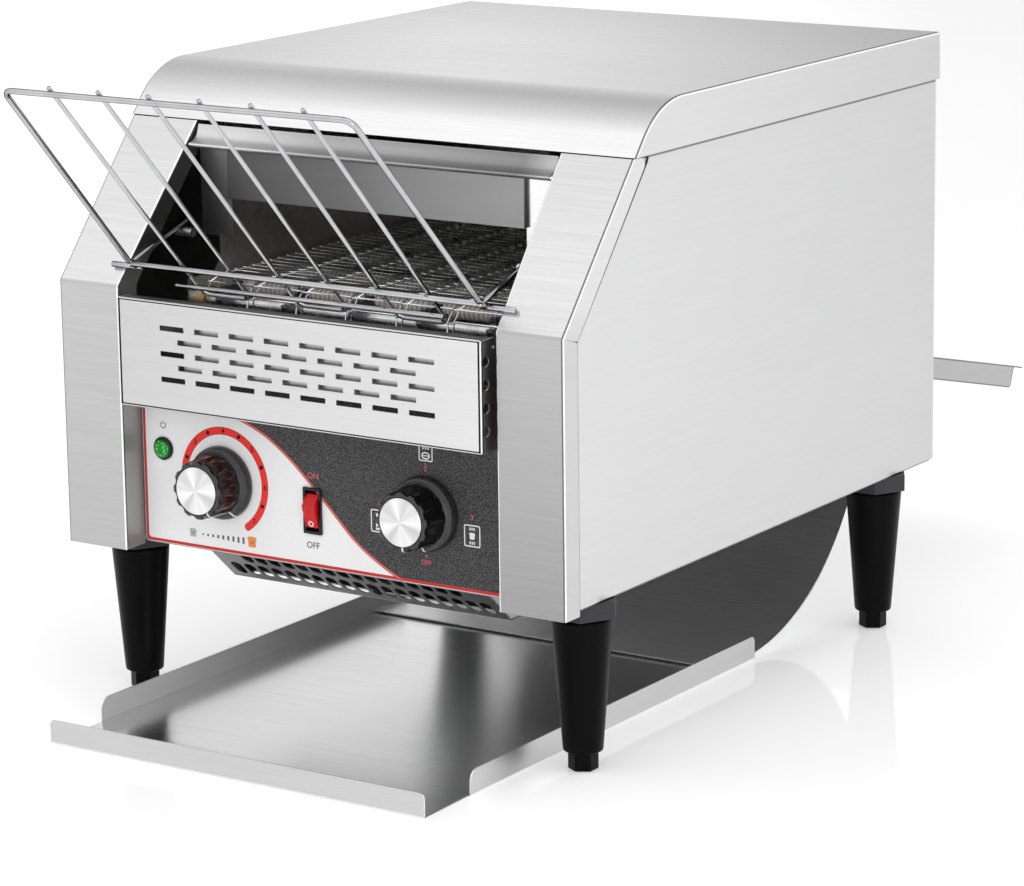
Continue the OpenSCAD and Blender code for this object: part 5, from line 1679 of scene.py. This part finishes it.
finish("base_plate", STEEL_Y)
finish("back_panel", STEEL_X)
for nn in ("chamber_wall_left", "chamber_wall_right"):
    finish(nn, REFLECTOR)
finish("upper_reflector", REFLECTOR)
finish("lower_heat_shield", BLUED)
for nn in ("compartment_wall", "motor_bracket"):
    finish(nn, INNER)
for nn in ("upper_heater_tubes", "lower_heater_tubes"):
    finish(nn, QUARTZ)
finish("heater_end_caps", CERAMIC)
for nn in ("drive_shaft", "idler_shaft", "speed_spindle", "heat_spindle", "rack_support_pins"):
    finish(nn, TURNED)
for nn in ("drive_rollers", "idler_rollers"):
    finish(nn, ROLLER)
for nn in ("driven_sprocket", "motor_sprocket"):
    finish(nn, SPROCKET)
finish("drive_chain", CHAIN)
finish("shaft_bushes", BRONZE)
finish("gear_motor", ZINC)
for nn in ("fan_housing", "fan_rotor", "cable_gland"):
    finish(nn, BLACK)
for nn in ("speed_potentiometer", "heat_selector_switch"):
    finish(nn, SWITCH)
finish("control_electronics", BOARD)


# ---------------------------------------------------------------- floor and light 
def floor():
    bm = bmesh.new()
    bmesh.ops.create_grid(bm, x_segments=1, y_segments=1, size=12.0)
    me = bpy.data.meshes.new("floor")
    bm.to_mesh(me)
    bm.free()
    ob = bpy.data.objects.new("floor", me)
    scene.collection.objects.link(ob)
    ob.location.z = -0.0004
    s = M("floor_white")
    n = s.noise(s.mapping((3, 3, 3)), 1.0, 2.0)
    s.set(color=s.mix(s.rng(n, 0, 1), (0.93, 0.93, 0.93), (0.95, 0.95, 0.95)), rough=0.06, spec=0.3, emis=0.24, emis_color=(1.0, 1.0, 1.0))
    me.materials.append(s.m)
    return ob


def area(name, loc, target, size, power, size_y=None, color=(1, 1, 1)):
    li = bpy.data.lights.new(name, "AREA")
    li.shape = "RECTANGLE"
    li.size, li.size_y = size, size_y or size
    li.energy = power
    li.color = color
    ob = bpy.data.objects.new(name, li)
    scene.collection.objects.link(ob)
    ob.location = loc
    ob.rotation_euler = (Vector(target) - Vector(loc)).to_track_quat("-Z", "Y").to_euler()
    return ob


def light():
    """A pale studio tent: bright round the sides, dimmer overhead towards the back."""
    w = bpy.data.worlds.new("world")
    scene.world = w
    w.use_nodes = True
    t = w.node_tree
    bg = t.nodes["Background"]

    def n(kind, **kw):
        q = t.nodes.new("ShaderNode" + kind)
        for k, v in kw.items():
            setattr(q, k, v)
        return q

    def ramp(src, lo, hi, stops):
        m = n("MapRange")
        m.inputs["From Min"].default_value, m.inputs["From Max"].default_value = lo, hi
        t.links.new(src, m.inputs["Value"])
        r = n("ValToRGB")
        e = r.color_ramp.elements
        while len(e) > 1:
            e.remove(e[-1])
        for i, (x, v) in enumerate(stops):
            el = e[0] if i == 0 else e.new((x - lo) / (hi - lo))
            el.position = (x - lo) / (hi - lo)
            el.color = (v / 2, v / 2, v / 2, 1)
        t.links.new(m.outputs[0], r.inputs[0])
        q = n("Math", operation="MULTIPLY")
        t.links.new(r.outputs[0], q.inputs[0])
        q.inputs[1].default_value = 2.0
        return q.outputs[0]

    def calc(op, a, b):
        q = n("Math", operation=op)
        for k, v in enumerate((a, b)):
            if isinstance(v, (int, float)):
                q.inputs[k].default_value = v
            else:
                t.links.new(v, q.inputs[k])
        return q.outputs[0]
    co = n("TexCoord")
    dirv = n("VectorMath", operation="NORMALIZE")
    t.links.new(co.outputs["Generated"], dirv.inputs[0])
    sep = n("SeparateXYZ")
    t.links.new(dirv.outputs[0], sep.inputs[0])
    dot = n("VectorMath", operation="DOT_PRODUCT")
    t.links.new(dirv.outputs[0], dot.inputs[0])
    dot.inputs[1].default_value = (-0.354, 0.612, 0.707)
    roof = ramp(dot.outputs["Value"], 0.0, 1.0, [(0.0, 1.0), (0.5, 1.09), (0.616, 1.03), (0.766, 0.94), (0.866, 0.80), (0.94, 0.66), (0.985, 0.54), (1.0, 0.50)])
    az = calc("MULTIPLY", calc("ARCTAN2", sep.outputs[0], sep.outputs[1]), 57.29578)
    wall = ramp(az, -60.0, 40.0, [(-60, 0.90), (-44, 0.76), (-39, 0.86), (-36.5, 1.05), (-34.5, 1.16), (-32.5, 1.04), (-30, 0.76), (-27.5, 0.54), (-20, 0.46), (-5, 0.66), (25, 1.0)])
    low = ramp(sep.outputs[2], 0.0, 1.0, [(0.0, 1.0), (0.22, 1.0), (0.42, 0.0)])
    # wall only counts near the horizon
    f = calc("ADD", calc("MULTIPLY", calc("SUBTRACT", wall, 1.0), low), 1.0)
    v = calc("MULTIPLY", roof, f)
    t.links.new(v, bg.inputs[1])
    bg.inputs[0].default_value = (1.0, 1.0, 1.0, 1)
    area("key", (-1.4, -1.7, 2.5), (0, 0, 0.2), 2.2, 4)
    area("top", (0.9, -0.4, 2.6), (0, 0, 0.2), 2.0, 7)
    area("edge", (1.75, -1.35, 0.65), (0, 0, 0.25), 0.22, 3.4, 1.1)


floor()
light()
scene.view_settings.view_transform = "Standard"
scene.view_settings.look = "None"
scene.view_settings.exposure = 0.0
scene.view_settings.gamma = 1.0
